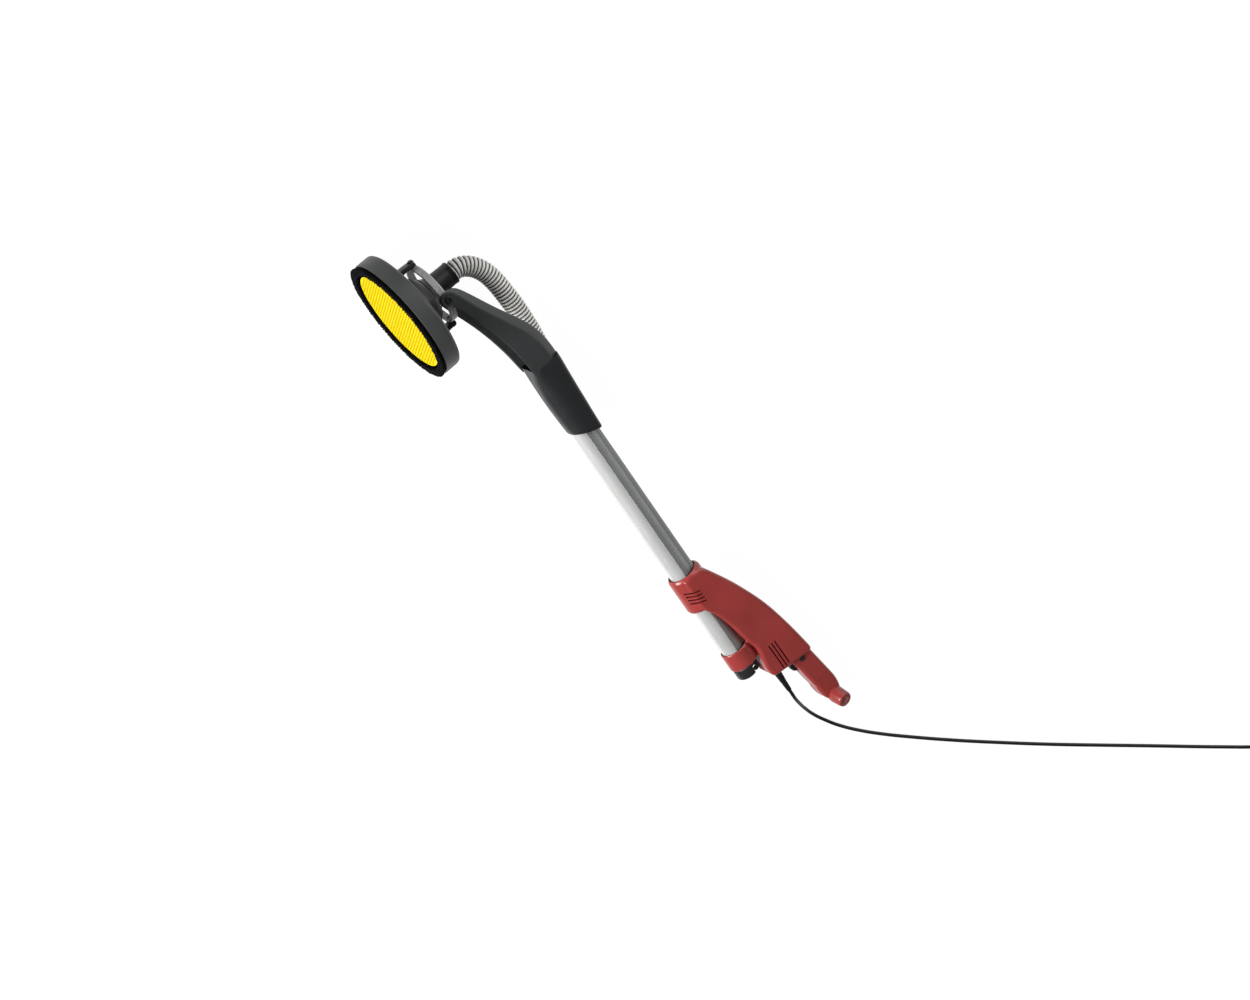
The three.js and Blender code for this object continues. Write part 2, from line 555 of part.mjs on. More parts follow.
function motor(tool) {
  const group = new THREE.Group();
  group.position.copy(MOTOR_AT);
  group.rotation.z = THREE.MathUtils.degToRad(MOTOR_TILT);
  const spin = 4; // shaft radius
  add(group, 'shaft_coupling', cylinderU(7.5, 4, 26, 14, 0, 0, spin + GAP), STEEL);
  add(group, 'rotor_shaft', cylinderU(spin, 8, 198, 12), STEEL);
  add(group, 'front_bearing', cylinderU(11, 30, 38, 18, 0, 0, spin + GAP), STEEL);
  const hub = cylinderU(8, 50, 64, 14, 0, 0, spin + GAP);
  const blades = [];
  for (let i = 0; i < 9; i += 1) {
    const blade = new THREE.BoxGeometry(10, 16, 1.6).translate(58, 15.5, 0);
    blades.push(solid(blade.rotateX((2 * Math.PI * i) / 9)));
  }
  add(group, 'fan', joined(hub, cylinderU(24.5, 50, 53.5, 20, 0, 0, spin + GAP), ...blades), BLACK);
  add(group, 'stator', cut(cylinderU(STATOR_R, 88, 140, 24, 0, 0, 19.5),
    block(80, 150, -40, 40, STATOR_R - 4, 60), block(80, 150, -40, 40, -60, -STATOR_R + 4)), LAMINATION);
  add(group, 'rotor_stack', cylinderU(18.6, 92, 136, 20, 0, 0, spin + GAP), COPPER);
  add(group, 'commutator', cylinderU(11.5, 149, 168, 18, 0, 0, spin + GAP), COPPER);
  for (const [name, side] of [['right', 1], ['left', -1]]) {
    const ends = [11.9, 26].map((w) => side * w);
    add(group, `carbon_brush_${name}`, block(154, 164, -4, 4, Math.min(...ends), Math.max(...ends)), LAMINATION);
  }
  add(group, 'rear_bearing', cylinderU(9.5, 186, 193, 18, 0, 0, spin + GAP), STEEL);
  tool.add(group);
}

function controls(tool) {
  add(tool, 'control_module', block(1122, 1146, 224, 258, -16, 16), BLACK);
  add(tool, 'switch_body', block(1186, 1234, 292.5, 312, -9, 9), BLACK);
  const trigger = pressed(outline([[1190, 287.5], [1214, 287.5], [1214, 271, 4], [1209, 263, 4], [1196, 260, 4],
    [1190, 266, 3]]), -6.8, 6.8);
  add(tool, 'trigger', trigger, BLACK);
  add(tool, 'lock_button', cylinderW(5.9, 12, GRIP_W + 2.6, 16, 1190, 290), BLACK);
}

function endKnob(tool) {
  // A round knob stands out of the right-hand side of the grip's end and leans a little to the rear.
  const profile = [[0, 0], [15.6, 0], [15.6, 14], [16.7, 17], [16.7, 33], [14.6, 37], [11, 37.6], [10.4, 36.4], [0, 36.4]];
  const points = profile.map(([r, y]) => new THREE.Vector2(r, y));
  const lean = new THREE.Quaternion().setFromUnitVectors(new THREE.Vector3(0, 1, 0), KNOB_AXIS);
  const knob = new THREE.LatheGeometry(points, 28).applyQuaternion(lean).translate(...KNOB_AT);
  const stub = cylinderW(5.6, 15, 30, 12, KNOB_AT.x, KNOB_AT.y);
  const clearOfGrip = cut(solid(knob), block(1200, 1400, 200, 400, -60, GRIP_W + GAP));
  add(tool, 'end_knob', joined(clearOfGrip, stub), RED);
}

function strainRelief(tool) {
  const profile = [[0, 1150], [6.8, 1150], [6.8, 1176], [8.5, 1177], [8.5, 1182], [6.6, 1185], [5.2, 1240], [0, 1240]];
  const points = profile.map(([r, u]) => new THREE.Vector2(r, u));
  add(tool, 'strain_relief', solid(new THREE.LatheGeometry(points, 16).rotateZ(-Math.PI / 2).translate(0, RELIEF_V, 0)),
    RUBBER);
}

// ---------------------------------------------------------------- mains lead, on the floor beside the tool

// From the strain relief down to the floor, and along it to the coil.
const LEAD_ROUTE = [[631.6, 90, 73.6], [646, 89.6, 73.2], [663, 88, 67], [689, 86, 52], [717, 85, 35], [755, 89, 17.5],
  [789, 101, 8.5], [821, 119, 4.8], [858, 150, 4.3], [893, 186, 4.3], [930, 229, 4.3], [995, 310, 4.3],
  [1061, 398, 4.3], [1128, 491, 4.3], [1192, 584, 4.3], [1256, 678, 4.3], [1320, 771, 4.3], [1367, 841, 4.6],
  [1395.5, 883.5, 5.4]];
const LEAD_END = [[1360.5, 1005.6, 22], [1354, 1008.7, 21], [1346, 1012.4, 19.3], [1337.6, 1016.2, 18.6]];

function mainsLead(group) {
  add(group, 'mains_lead', solid(rod(LEAD_ROUTE, LEAD_D / 2, 8, 50)), RUBBER);
  add(group, 'mains_lead_end', solid(rod(LEAD_END, LEAD_D / 2, 8, 4)), RUBBER);
  const half = COIL_T / 2;
  const ring = [[COIL_R - half, -half], [COIL_R + half, -half], [COIL_R + half, half], [COIL_R - half, half]];
  const points = [...ring, ring[0]].map(([x, z]) => new THREE.Vector2(x, z));
  const coil = new THREE.LatheGeometry(points, 32).rotateX(Math.PI / 2);
  add(group, 'lead_coil', solid(coil.translate(COIL_AT.x, COIL_AT.y, COIL_AT.z)), RUBBER);
  const tie = new THREE.Group();
  tie.position.copy(COIL_AT);
  const reach = half + 2 * GAP;
  const band = cut(block(COIL_R - reach - TIE_T, COIL_R + reach + TIE_T, -5, 5, -reach - TIE_T, reach + TIE_T),
    block(COIL_R - reach - 0.2, COIL_R + reach, -9, 9, -reach, reach));
  add(tie, 'lead_tie', band, BLACK);
  tie.rotation.z = THREE.MathUtils.degToRad(-20);
  group.add(tie);
  const plug = new THREE.Group();
  plug.position.copy(PLUG_AT);
  plug.rotation.z = THREE.MathUtils.degToRad(PLUG_TURN);
  const body = [[0, 0], [6, 0], [8, 16], [13, 20], [18.4, 26], [18.4, 54], [0, 54]];
  const shell = new THREE.LatheGeometry(body.map(([r, x]) => new THREE.Vector2(r, x)), 20).rotateZ(-Math.PI / 2);
  const pins = [9.5, -9.5].map((y) => cylinderU(2.4, 50, 73, 10, y, 0));
  add(plug, 'plug', joined(solid(shell), ...pins), RUBBER);
  group.add(plug);
}

// ---------------------------------------------------------------- assembly

function sander() {
  const tool = new THREE.Group();
  const head = new THREE.Group();
  sandingPad(head);
  gearbox(head);
  suctionDome(head);
  hoodAndBrush(head);
  rollBrackets(head);
  tool.add(head);
  gimbal(tool);
  forkArms(tool);
  neck(tool);
  suctionHose(tool);
  pole(tool);
  flexibleShaft(tool);
  motorHousing(tool);
  motor(tool);
  controls(tool);
  endKnob(tool);
  strainRelief(tool);
  tool.rotation.set(THREE.MathUtils.degToRad(LIE_ROLL), THREE.MathUtils.degToRad(LIE_PITCH), 0, 'YXZ');
  // The origin is on the floor, below the middle of the tool's box.
  const box = new THREE.Box3().setFromObject(tool, true);
  const middle = box.getCenter(new THREE.Vector3());
  tool.position.set(-middle.x, -middle.y, -box.min.z);
  return tool;
}

const part = new THREE.Group();
const tool = sander();
part.add(tool);
// The lead keeps its own heights over the floor, and starts where the strain relief ends.
const lead = new THREE.Group();
mainsLead(lead);
const exit = new THREE.Vector3(1240 + 3 * GAP, RELIEF_V, 0).applyEuler(tool.rotation).add(tool.position);
lead.position.set(exit.x - LEAD_ROUTE[0][0], exit.y - LEAD_ROUTE[0][1], 0);
part.add(lead);

export default part;
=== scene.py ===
"""Pole drywall sander lying on its side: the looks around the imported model. Blender 4.5, metres."""
import json
import math
import random

import bmesh
import bpy
from mathutils import Matrix, Vector


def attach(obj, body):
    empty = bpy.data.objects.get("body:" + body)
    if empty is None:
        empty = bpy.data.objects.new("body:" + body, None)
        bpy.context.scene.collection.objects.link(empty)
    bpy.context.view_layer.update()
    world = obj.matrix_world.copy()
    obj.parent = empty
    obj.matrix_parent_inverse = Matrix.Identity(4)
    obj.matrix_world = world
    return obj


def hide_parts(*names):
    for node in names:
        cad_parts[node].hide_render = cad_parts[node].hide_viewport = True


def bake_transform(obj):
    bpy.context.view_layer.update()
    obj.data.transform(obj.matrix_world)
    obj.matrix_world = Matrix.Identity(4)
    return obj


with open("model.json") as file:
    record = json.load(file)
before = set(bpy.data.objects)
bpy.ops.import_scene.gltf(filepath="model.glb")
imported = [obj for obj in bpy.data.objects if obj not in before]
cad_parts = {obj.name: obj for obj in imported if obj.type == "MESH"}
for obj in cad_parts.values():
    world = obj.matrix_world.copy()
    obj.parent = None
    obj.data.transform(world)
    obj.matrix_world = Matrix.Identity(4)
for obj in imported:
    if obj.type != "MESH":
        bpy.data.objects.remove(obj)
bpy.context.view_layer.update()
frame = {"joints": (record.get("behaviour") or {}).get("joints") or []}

# ---- the tool's own frame
# u runs along the pole from the head to the grip, v points away from the abrasive face, w is across.
# Shapes below are drawn in that frame in millimetres, from the centre of the abrasive face.

MM = 0.001
PIVOT_V = 88
JOINTS = {joint["name"]: joint for joint in frame["joints"]}


def tool_matrix():
    axes = [Vector(JOINTS[name]["axis"]).normalized() for name in ("head_roll", "pad_spin", "head_pitch")]
    origin = Vector(JOINTS["head_pitch"]["pos_m"]) - axes[1] * PIVOT_V * MM
    turn = Matrix(axes).transposed().to_4x4()
    return Matrix.Translation(origin) @ turn @ Matrix.Scale(MM, 4)


TOOL = tool_matrix()
WORLD = Matrix.Scale(MM, 4)


def place(u, v, w=0.0):
    """A point of the tool's frame in the row's frame."""
    return TOOL @ Vector((u, v, w))


# ---- camera, floor and light

CAMERA_AT = (-2334, -1367, 5727)
CAMERA_AIM = (629, 172, 0)
CAMERA_RIGHT = (0.5100, 0.7272, 0.4594)
LENS = 92.2


def make_camera():
    data = bpy.data.cameras.new("camera")
    data.lens = LENS
    data.sensor_width = 36
    data.clip_end = 50
    eye = place(*CAMERA_AT)
    back = (eye - place(*CAMERA_AIM)).normalized()
    right = (TOOL.to_3x3() @ Vector(CAMERA_RIGHT)).normalized()
    up = back.cross(right).normalized()
    right = up.cross(back)
    camera = bpy.data.objects.new("camera", data)
    camera.matrix_world = Matrix.Translation(eye) @ Matrix((right, up, back)).transposed().to_4x4()
    bpy.context.scene.collection.objects.link(camera)
    bpy.context.scene.camera = camera
    return camera


CAMERA = make_camera()


def picture_ray(across, up):
    """A direction in the row's frame, from the picture's axes and the way back to the camera."""
    turn = CAMERA.matrix_world.to_3x3()
    return (turn @ Vector((across, up, 1.0))).normalized()


def area_light(name, direction, distance, size, power, aim):
    data = bpy.data.lights.new(name, "AREA")
    data.shape = "DISK"
    data.size = size
    data.energy = power
    light = bpy.data.objects.new(name, data)
    at = aim + direction * distance
    light.matrix_world = Matrix.Translation(at) @ direction.to_track_quat("Z", "Y").to_matrix().to_4x4()
    bpy.context.scene.collection.objects.link(light)


def make_stage():
    aim = Vector((0.0, 0.0, 0.1))
    # A broad key from the lower left as the camera sees it, a weaker fill from above, and a low light
    # from the upper right.
    area_light("key", picture_ray(-1.2, -0.75), 3.2, 1.9, 190, aim)
    area_light("fill", picture_ray(0.3, 0.9), 4.0, 3.0, 40, aim)
    area_light("rim", picture_ray(1.6, 1.1), 4.0, 2.4, 60, aim)
    world = bpy.data.worlds.new("studio")
    world.use_nodes = True
    sky = world.node_tree.nodes["Background"]
    sky.inputs["Color"].default_value = (1.0, 1.0, 1.0, 1.0)
    sky.inputs["Strength"].default_value = 0.16
    bpy.context.scene.world = world
    bpy.context.scene.view_settings.view_transform = "Standard"
    mesh = bpy.data.meshes.new("floor")
    far = 14.0
    mesh.from_pydata([(-far, -far, 0), (far, -far, 0), (far, far, 0), (-far, far, 0)], [], [(0, 1, 2, 3)])
    floor = bpy.data.objects.new("floor", mesh)
    bpy.context.scene.collection.objects.link(floor)
    mesh.materials.append(floor_white())
    # The glowing floor doesn't light the tool from below.
    floor.visible_diffuse = False


# ---- materials


class Look:
    """A node material, built step by step."""

    def __init__(self, name, colour, rough, metal=0.0, gloss=0.5):
        self.material = bpy.data.materials.new(name)
        self.material.use_nodes = True
        self.nodes = self.material.node_tree.nodes
        self.links = self.material.node_tree.links
        self.shader = self.nodes["Principled BSDF"]
        self.colour = (*colour, 1.0)
        self.rough = rough
        self.shader.inputs["Base Color"].default_value = self.colour
        self.shader.inputs["Roughness"].default_value = rough
        self.shader.inputs["Metallic"].default_value = metal
        self.shader.inputs["Specular IOR Level"].default_value = gloss
        self.coords = self.node("ShaderNodeTexCoord").outputs["Object"]
        self.height = None

    def node(self, kind, **values):
        node = self.nodes.new(kind)
        for key, value in values.items():
            setattr(node, key, value)
        return node

    def noise(self, scale, detail=3.0, stretch=(1, 1, 1)):
        """Noise at scale per metre, in the tool's frame when it is stretched."""
        mapping = self.node("ShaderNodeMapping")
        turn = TOOL.to_3x3().normalized().transposed().to_euler()
        mapping.inputs["Rotation"].default_value = turn
        mapping.inputs["Scale"].default_value = (1, 1, 1)
        squeeze = self.node("ShaderNodeVectorMath", operation="MULTIPLY")
        squeeze.inputs[1].default_value = stretch
        self.links.new(self.coords, mapping.inputs["Vector"])
        self.links.new(mapping.outputs["Vector"], squeeze.inputs[0])
        noise = self.node("ShaderNodeTexNoise")
        noise.inputs["Scale"].default_value = scale
        noise.inputs["Detail"].default_value = detail
        self.links.new(squeeze.outputs["Vector"], noise.inputs["Vector"])
        return noise.outputs["Fac"]

    def span(self, value, low, high):
        ramp = self.node("ShaderNodeMapRange")
        ramp.inputs["To Min"].default_value = low
        ramp.inputs["To Max"].default_value = high
        ramp.inputs["From Min"].default_value = 0.3
        ramp.inputs["From Max"].default_value = 0.7
        self.links.new(value, ramp.inputs["Value"])
        return ramp.outputs["Result"]

    def mottle(self, scale, amount):
        """The colour lightens and darkens a little over the surface."""
        shade = self.node("ShaderNodeHueSaturation")
        shade.inputs["Color"].default_value = self.colour
        self.links.new(self.span(self.noise(scale), 1 - amount, 1 + amount), shade.inputs["Value"])
        self.links.new(shade.outputs["Color"], self.shader.inputs["Base Color"])
        return self

    def grain(self, scale, amount, stretch=(1, 1, 1)):
        """The roughness varies over the surface."""
        low, high = max(0.03, self.rough - amount), min(1.0, self.rough + amount)
        self.links.new(self.span(self.noise(scale, 4.0, stretch), low, high), self.shader.inputs["Roughness"])
        return self

    def bump(self, scale, depth, stretch=(1, 1, 1), strength=0.5):
        node = self.node("ShaderNodeBump")
        node.inputs["Strength"].default_value = strength
        node.inputs["Distance"].default_value = depth
        self.links.new(self.noise(scale, 2.0, stretch), node.inputs["Height"])
        if self.height is not None:
            self.links.new(self.height, node.inputs["Normal"])
        self.height = node.outputs["Normal"]
        self.links.new(self.height, self.shader.inputs["Normal"])
        return self


def floor_white():
    """A white studio floor that glows a little, so that it stays plain and nearly without shadows."""
    look = Look("floor_white", (0.06, 0.06, 0.06), 0.9).mottle(3, 0.01)
    look.shader.inputs["Emission Color"].default_value = (1.0, 1.0, 1.0, 1.0)
    look.shader.inputs["Emission Strength"].default_value = 0.97
    return look.material


def moulded(name, colour, rough, texture=2200, depth=0.00006, gloss=0.5):
    look = Look(name, colour, rough, gloss=gloss)
    look.mottle(14, 0.10).grain(30, 0.06).bump(texture, depth)
    return look.material


def brushed(name, colour, rough, stretch=(0.02, 1, 1), metal=1.0):
    look = Look(name, colour, rough, metal)
    look.mottle(9, 0.05).grain(1500, 0.09, stretch).bump(1800, 0.00002, stretch)
    return look.material


def cast(name, colour, rough, metal=0.9):
    look = Look(name, colour, rough, metal)
    look.mottle(25, 0.07).grain(70, 0.08).bump(1400, 0.00008)
    return look.material


RED = moulded("red_plastic", (0.300, 0.037, 0.033), 0.30)
BLACK = moulded("black_plastic", (0.018, 0.019, 0.020), 0.38, gloss=0.25)
CHARCOAL = moulded("charcoal_plastic", (0.032, 0.034, 0.035), 0.40, gloss=0.35)
NECK_BLACK = moulded("neck_plastic", (0.016, 0.017, 0.018), 0.34, gloss=0.3)
SOCKET_BLACK = moulded("socket_plastic", (0.020, 0.021, 0.021), 0.32, gloss=0.3)
HOOD_GREY = moulded("hood_plastic", (0.042, 0.045, 0.043), 0.42, gloss=0.3)
DOME_GREY = moulded("dome_plastic", (0.050, 0.051, 0.050), 0.45, gloss=0.3)
RUBBER = moulded("rubber", (0.010, 0.010, 0.011), 0.5, 1600, 0.00008, gloss=0.15)
SLEEVE_BLACK = moulded("sleeve_rubber", (0.012, 0.012, 0.013), 0.36, 1600, 0.00005, gloss=0.3)
LEAD = moulded("lead_rubber", (0.008, 0.008, 0.009), 0.36, 900, 0.00004, gloss=0.25)
HOSE_LOOK = moulded("hose_plastic", (0.82, 0.81, 0.77), 0.32, 1500, 0.00004)
# Painted shade: a dark colour for the bottoms of the hose's grooves, which are the same light plastic as the
# crests.
HOSE_GROOVE_PAINTED_SHADE = moulded("hose_groove_painted_shade", (0.085, 0.083, 0.078), 0.5, 1500, 0.00004, gloss=0.2)
ALUMINIUM = brushed("aluminium", (0.66, 0.67, 0.66), 0.36, metal=0.5)
# Painted shade: a darker grey for the pole's faces above the groove, on the side away from the key light.
CHANNEL_PAINTED_SHADE = brushed("channel_painted_shade", (0.27, 0.275, 0.275), 0.42, metal=0.5)
STEEL = brushed("steel", (0.50, 0.51, 0.52), 0.30, (1, 1, 1))
BLACK_STEEL = cast("blackened_steel", (0.03, 0.03, 0.032), 0.35, 0.6)
CAST = cast("cast_metal", (0.44, 0.45, 0.46), 0.42)
GIMBAL_GREY = cast("gimbal_metal", (0.40, 0.41, 0.40), 0.45, 0.2)
BRASS = cast("brass", (0.48, 0.32, 0.12), 0.35, 1.0)
COPPER = cast("copper", (0.44, 0.16, 0.07), 0.4, 1.0)
LAMINATION = cast("lamination", (0.10, 0.11, 0.12), 0.5)
FOAM = Look("foam", (0.13, 0.135, 0.14), 0.95).mottle(200, 0.25).bump(1500, 0.0004).material
BRISTLE = Look("bristle", (0.004, 0.004, 0.005), 0.85, gloss=0.04).mottle(60, 0.4).material
ABRASIVE_LOOK = Look("abrasive", (0.63, 0.475, 0.002), 0.85, gloss=0.08)
ABRASIVE = ABRASIVE_LOOK.mottle(900, 0.16).bump(3000, 0.0002).material
SCREEN_LOOK = Look("screen_back", (0.16, 0.07, 0.002), 0.95, gloss=0.05)
SCREEN_BACK = SCREEN_LOOK.mottle(700, 0.3).bump(2500, 0.0003).material

# ---- mesh helpers


def make(name, verts, faces, frame_of=TOOL, smooth=True):
    mesh = bpy.data.meshes.new(name)
    mesh.from_pydata([frame_of @ Vector(v) for v in verts], [], faces)
    obj = bpy.data.objects.new(name, mesh)
    bpy.context.scene.collection.objects.link(obj)
    clean(obj)
    if smooth:
        mesh.shade_smooth()
    return obj


def clean(obj):
    """Merges doubled points and turns every face outwards."""
    work = bmesh.new()
    work.from_mesh(obj.data)
    bmesh.ops.remove_doubles(work, verts=work.verts, dist=2e-6)
    bmesh.ops.dissolve_degenerate(work, edges=work.edges, dist=1e-6)
    bmesh.ops.recalc_face_normals(work, faces=work.faces)
    work.to_mesh(obj.data)
    work.free()


def apply(obj):
    """Applies every modifier of the object."""
    graph = bpy.context.evaluated_depsgraph_get()
    mesh = bpy.data.meshes.new_from_object(obj.evaluated_get(graph))
    obj.modifiers.clear()
    old = obj.data
    obj.data = mesh
    bpy.data.meshes.remove(old)
    return obj


def modify(obj, kind, **values):
    modifier = obj.modifiers.new(kind.lower(), kind)
    for key, value in values.items():
        setattr(modifier, key, value)
    return modifier


def drop(*objs):
    for obj in objs:
        bpy.data.objects.remove(obj, do_unlink=True)


def carve(obj, *cutters, operation="DIFFERENCE"):
    """Cuts the cutters out of a piece, and removes them."""
    for cutter in cutters:
        modify(obj, "BOOLEAN", operation=operation, object=cutter, solver="EXACT")
        apply(obj)
    drop(*cutters)
    return obj


def merge(name, *objs):
    """Several meshes as the loose parts of one."""
    work = bmesh.new()
    for obj in objs:
        work.from_mesh(obj.data)
    mesh = bpy.data.meshes.new(name)
    work.to_mesh(mesh)
    work.free()
    drop(*objs)
    obj = bpy.data.objects.new(name, mesh)
    bpy.context.scene.collection.objects.link(obj)
    mesh.shade_smooth()
    return obj


def fuse(name, *objs, voxel=1.4, smooth=4, factor=0.5):
    """Overlapping solids melted into one skin with soft edges. voxel is in millimetres."""
    obj = merge(name, *objs)
    modify(obj, "REMESH", mode="VOXEL", voxel_size=voxel * MM)
    modify(obj, "SMOOTH", iterations=smooth, factor=factor)
    apply(obj)
    obj.data.shade_smooth()
    return obj


def split_shading(obj, angle=32):
    obj.data.shade_smooth()
    obj.data.set_sharp_from_angle(angle=math.radians(angle))


def dress(obj, material, body, slot, *nodes):
    """Gives a piece its material and its body, and hides the CAD nodes it replaces.

    A piece that bends between two bodies has no body here. The slot argument is not used.
    """
    obj.data.materials.clear()
    obj.data.materials.append(material)
    if body:
        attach(obj, body)
    if nodes:
        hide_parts(*nodes)
    return obj


AXES = {
    "u": lambda r, along, angle: (along, r * math.cos(angle), r * math.sin(angle)),
    "v": lambda r, along, angle: (r * math.cos(angle), along, r * math.sin(angle)),
    "w": lambda r, along, angle: (r * math.cos(angle), r * math.sin(angle), along),
}


def turned(name, profile, segments=48, axis="v", centre=(0, 0, 0), frame_of=TOOL, turn=None):
    """A turned solid. The profile is a list of (radius, height) that closes on itself or on the axis."""
    verts, faces, rings = [], [], []
    for radius, along in profile:
        count = 1 if radius == 0 else segments
        rings.append(range(len(verts), len(verts) + count))
        for i in range(count):
            point = Vector(AXES[axis](radius, along, 2 * math.pi * i / segments))
            if turn is not None:
                point = turn @ point
            verts.append(point + Vector(centre))
    closed = profile[0][0] > 0 or profile[-1][0] > 0
    for k in range(len(rings) if closed else len(rings) - 1):
        a, b = rings[k], rings[(k + 1) % len(rings)]
        if len(a) == 1 and len(b) == 1:
            continue
        for i in range(segments):
            j = (i + 1) % segments
            ring = [a[i % len(a)], a[j % len(a)], b[j % len(b)], b[i % len(b)]]
            faces.append(list(dict.fromkeys(ring)))
    return make(name, verts, faces, frame_of)


def rounded(points, radii, steps=4):
    """A closed outline with rounded corners: each corner is a curve that starts its radius away."""
    result = []
    count = len(points)
    for i, point in enumerate(points):
        here = Vector(point)
        before, after = Vector(points[i - 1]), Vector(points[(i + 1) % count])
        radius = radii[i] if isinstance(radii, (list, tuple)) else radii
        start = here.lerp(before, min(0.45, radius / max(1e-6, (before - here).length)))
        end = here.lerp(after, min(0.45, radius / max(1e-6, (after - here).length)))
        if radius <= 0:
            result.append(tuple(here))
            continue
        for k in range(steps + 1):
            t = k / steps
            result.append(tuple(start.lerp(here, t).lerp(here.lerp(end, t), t)))
    return result


def corners(table):
    """A list of (u, v, corner radius) as a rounded outline."""
    return rounded([(u, v) for u, v, _ in table], [r for _, _, r in table])


def inset(points, distance):
    """An outline moved inwards by a distance, point by point."""
    area = sum(a[0] * b[1] - b[0] * a[1] for a, b in zip(points, points[1:] + points[:1]))
    side = 1 if area > 0 else -1
    result = []
    count = len(points)
    for i in range(count):
        before, here, after = Vector(points[i - 1]), Vector(points[i]), Vector(points[(i + 1) % count])
        along = (after - before).normalized()
        result.append((here.x - side * along.y * distance, here.y + side * along.x * distance))
    return result


def stack(name, layers):
    """A solid through several outlines of the same number of points, each given with its w."""
    verts, faces = [], []
    count = len(layers[0][0])
    for outline, w in layers:
        verts += [(u, v, w) for u, v in outline]
    for k in range(len(layers) - 1):
        for i in range(count):
            j = (i + 1) % count
            faces.append((k * count + i, k * count + j, (k + 1) * count + j, (k + 1) * count + i))
    faces.append(tuple(range(count))[::-1])
    faces.append(tuple((len(layers) - 1) * count + i for i in range(count)))
    return make(name, verts, faces)


def slab(name, outline, w0, w1):
    return stack(name, [(outline, w0), (outline, w1)])


def pillow(name, outline, half, edge, steps=5):
    """A slab of half-width half, whose long edges are rounded by edge."""
    layers = []
    for k in range(steps + 1):
        angle = math.pi / 2 * k / steps
        layers.append((inset(outline, edge * (1 - math.sin(angle))), -half + edge * (1 - math.cos(angle))))
    return stack(name, layers + [(outline_at, -w) for outline_at, w in reversed(layers)])


def block(name, u0, u1, v0, v1, w0, w1):
    return slab(name, [(u0, v0), (u1, v0), (u1, v1), (u0, v1)], w0, w1)


def smooth_path(points, step):
    """Points at equal steps along a centripetal curve through the given points."""
    pts = [Vector(p) for p in points]
    pts = [pts[0] * 2 - pts[1]] + pts + [pts[-1] * 2 - pts[-2]]
    fine = []
    for i in range(1, len(pts) - 2):
        p = pts[i - 1:i + 3]
        knots = [0.0]
        for a, b in zip(p, p[1:]):
            knots.append(knots[-1] + max(1e-6, (b - a).length) ** 0.5)
        for k in range(24):
            t = knots[1] + (knots[2] - knots[1]) * k / 24
            a = [p[j].lerp(p[j + 1], (t - knots[j]) / (knots[j + 1] - knots[j])) for j in range(3)]
            b = [a[j].lerp(a[j + 1], (t - knots[j]) / (knots[j + 2] - knots[j])) for j in range(2)]
            fine.append(b[0].lerp(b[1], (t - knots[1]) / (knots[2] - knots[1])))
    fine.append(pts[-2])
    lengths = [0.0]
    for a, b in zip(fine, fine[1:]):
        lengths.append(lengths[-1] + (b - a).length)
    count = max(2, round(lengths[-1] / step))
    result, j = [], 0
    for k in range(count + 1):
        target = lengths[-1] * k / count
        while j < len(fine) - 2 and lengths[j + 1] < target:
            j += 1
        share = (target - lengths[j]) / max(1e-9, lengths[j + 1] - lengths[j])
        result.append(fine[j].lerp(fine[j + 1], min(1.0, share)))
    return result


def sweep(name, path, radii, sides=24, closed_ends=True, frame_of=TOOL):
    """A tube along a path, with a radius for each of its points."""
    verts, faces = [], []
    tangent = (path[1] - path[0]).normalized()
    normal = tangent.orthogonal().normalized()
    for i, point in enumerate(path):
        ahead = path[min(i + 1, len(path) - 1)] - path[max(i - 1, 0)]
        if ahead.length > 1e-9:
            tangent = ahead.normalized()
        normal = (normal - tangent * normal.dot(tangent)).normalized()
        side = tangent.cross(normal)
        for k in range(sides):
            angle = 2 * math.pi * k / sides
            verts.append(point + (normal * math.cos(angle) + side * math.sin(angle)) * radii[i])
    for i in range(len(path) - 1):
        for k in range(sides):
            j = (k + 1) % sides
            faces.append((i * sides + k, i * sides + j, (i + 1) * sides + j, (i + 1) * sides + k))
    if closed_ends:
        faces.append(tuple(range(sides))[::-1])
        faces.append(tuple((len(path) - 1) * sides + k for k in range(sides)))
    return make(name, verts, faces, frame_of)


def oval(half_v, half_w, v=0.0, segments=64):
    """An oval about u, as points of v and w."""
    return [(v + half_v * math.cos(2 * math.pi * i / segments), half_w * math.sin(2 * math.pi * i / segments))
            for i in range(segments)]


def along_u(name, rings):
    """A solid through several closed curves of v and w, each given with its u."""
    verts, faces = [], []
    count = len(rings[0][0])
    for ring, u in rings:
        verts += [(u, v, w) for v, w in ring]
    for k in range(len(rings) - 1):
        for i in range(count):
            j = (i + 1) % count
            faces.append((k * count + i, k * count + j, (k + 1) * count + j, (k + 1) * count + i))
    faces.append(tuple(range(count))[::-1])
    faces.append(tuple((len(rings) - 1) * count + i for i in range(count)))
    return make(name, verts, faces)

# ---- the mains lead

LEAD_D = 8.0
LEAD_ROUTE = [
    (631.6, 90, 73.6), (646, 89.6, 73.2), (663, 88, 67), (689, 86, 52), (717, 85, 35), (755, 89, 17.5),
    (789, 101, 8.5), (821, 119, 4.8), (858, 150, 4.3), (893, 186, 4.3), (930, 229, 4.3), (995, 310, 4.3),
    (1061, 398, 4.3), (1128, 491, 4.3), (1192, 584, 4.3), (1256, 678, 4.3), (1320, 771, 4.3),
    (1367, 841, 4.6), (1395.5, 883.5, 5.4),
]
LEAD_END = [(1360.5, 1005.6, 22), (1354, 1008.7, 21), (1346, 1012.4, 19.3), (1337.6, 1016.2, 18.6)]
COIL_AT = (1382, 945.5, 14.6)
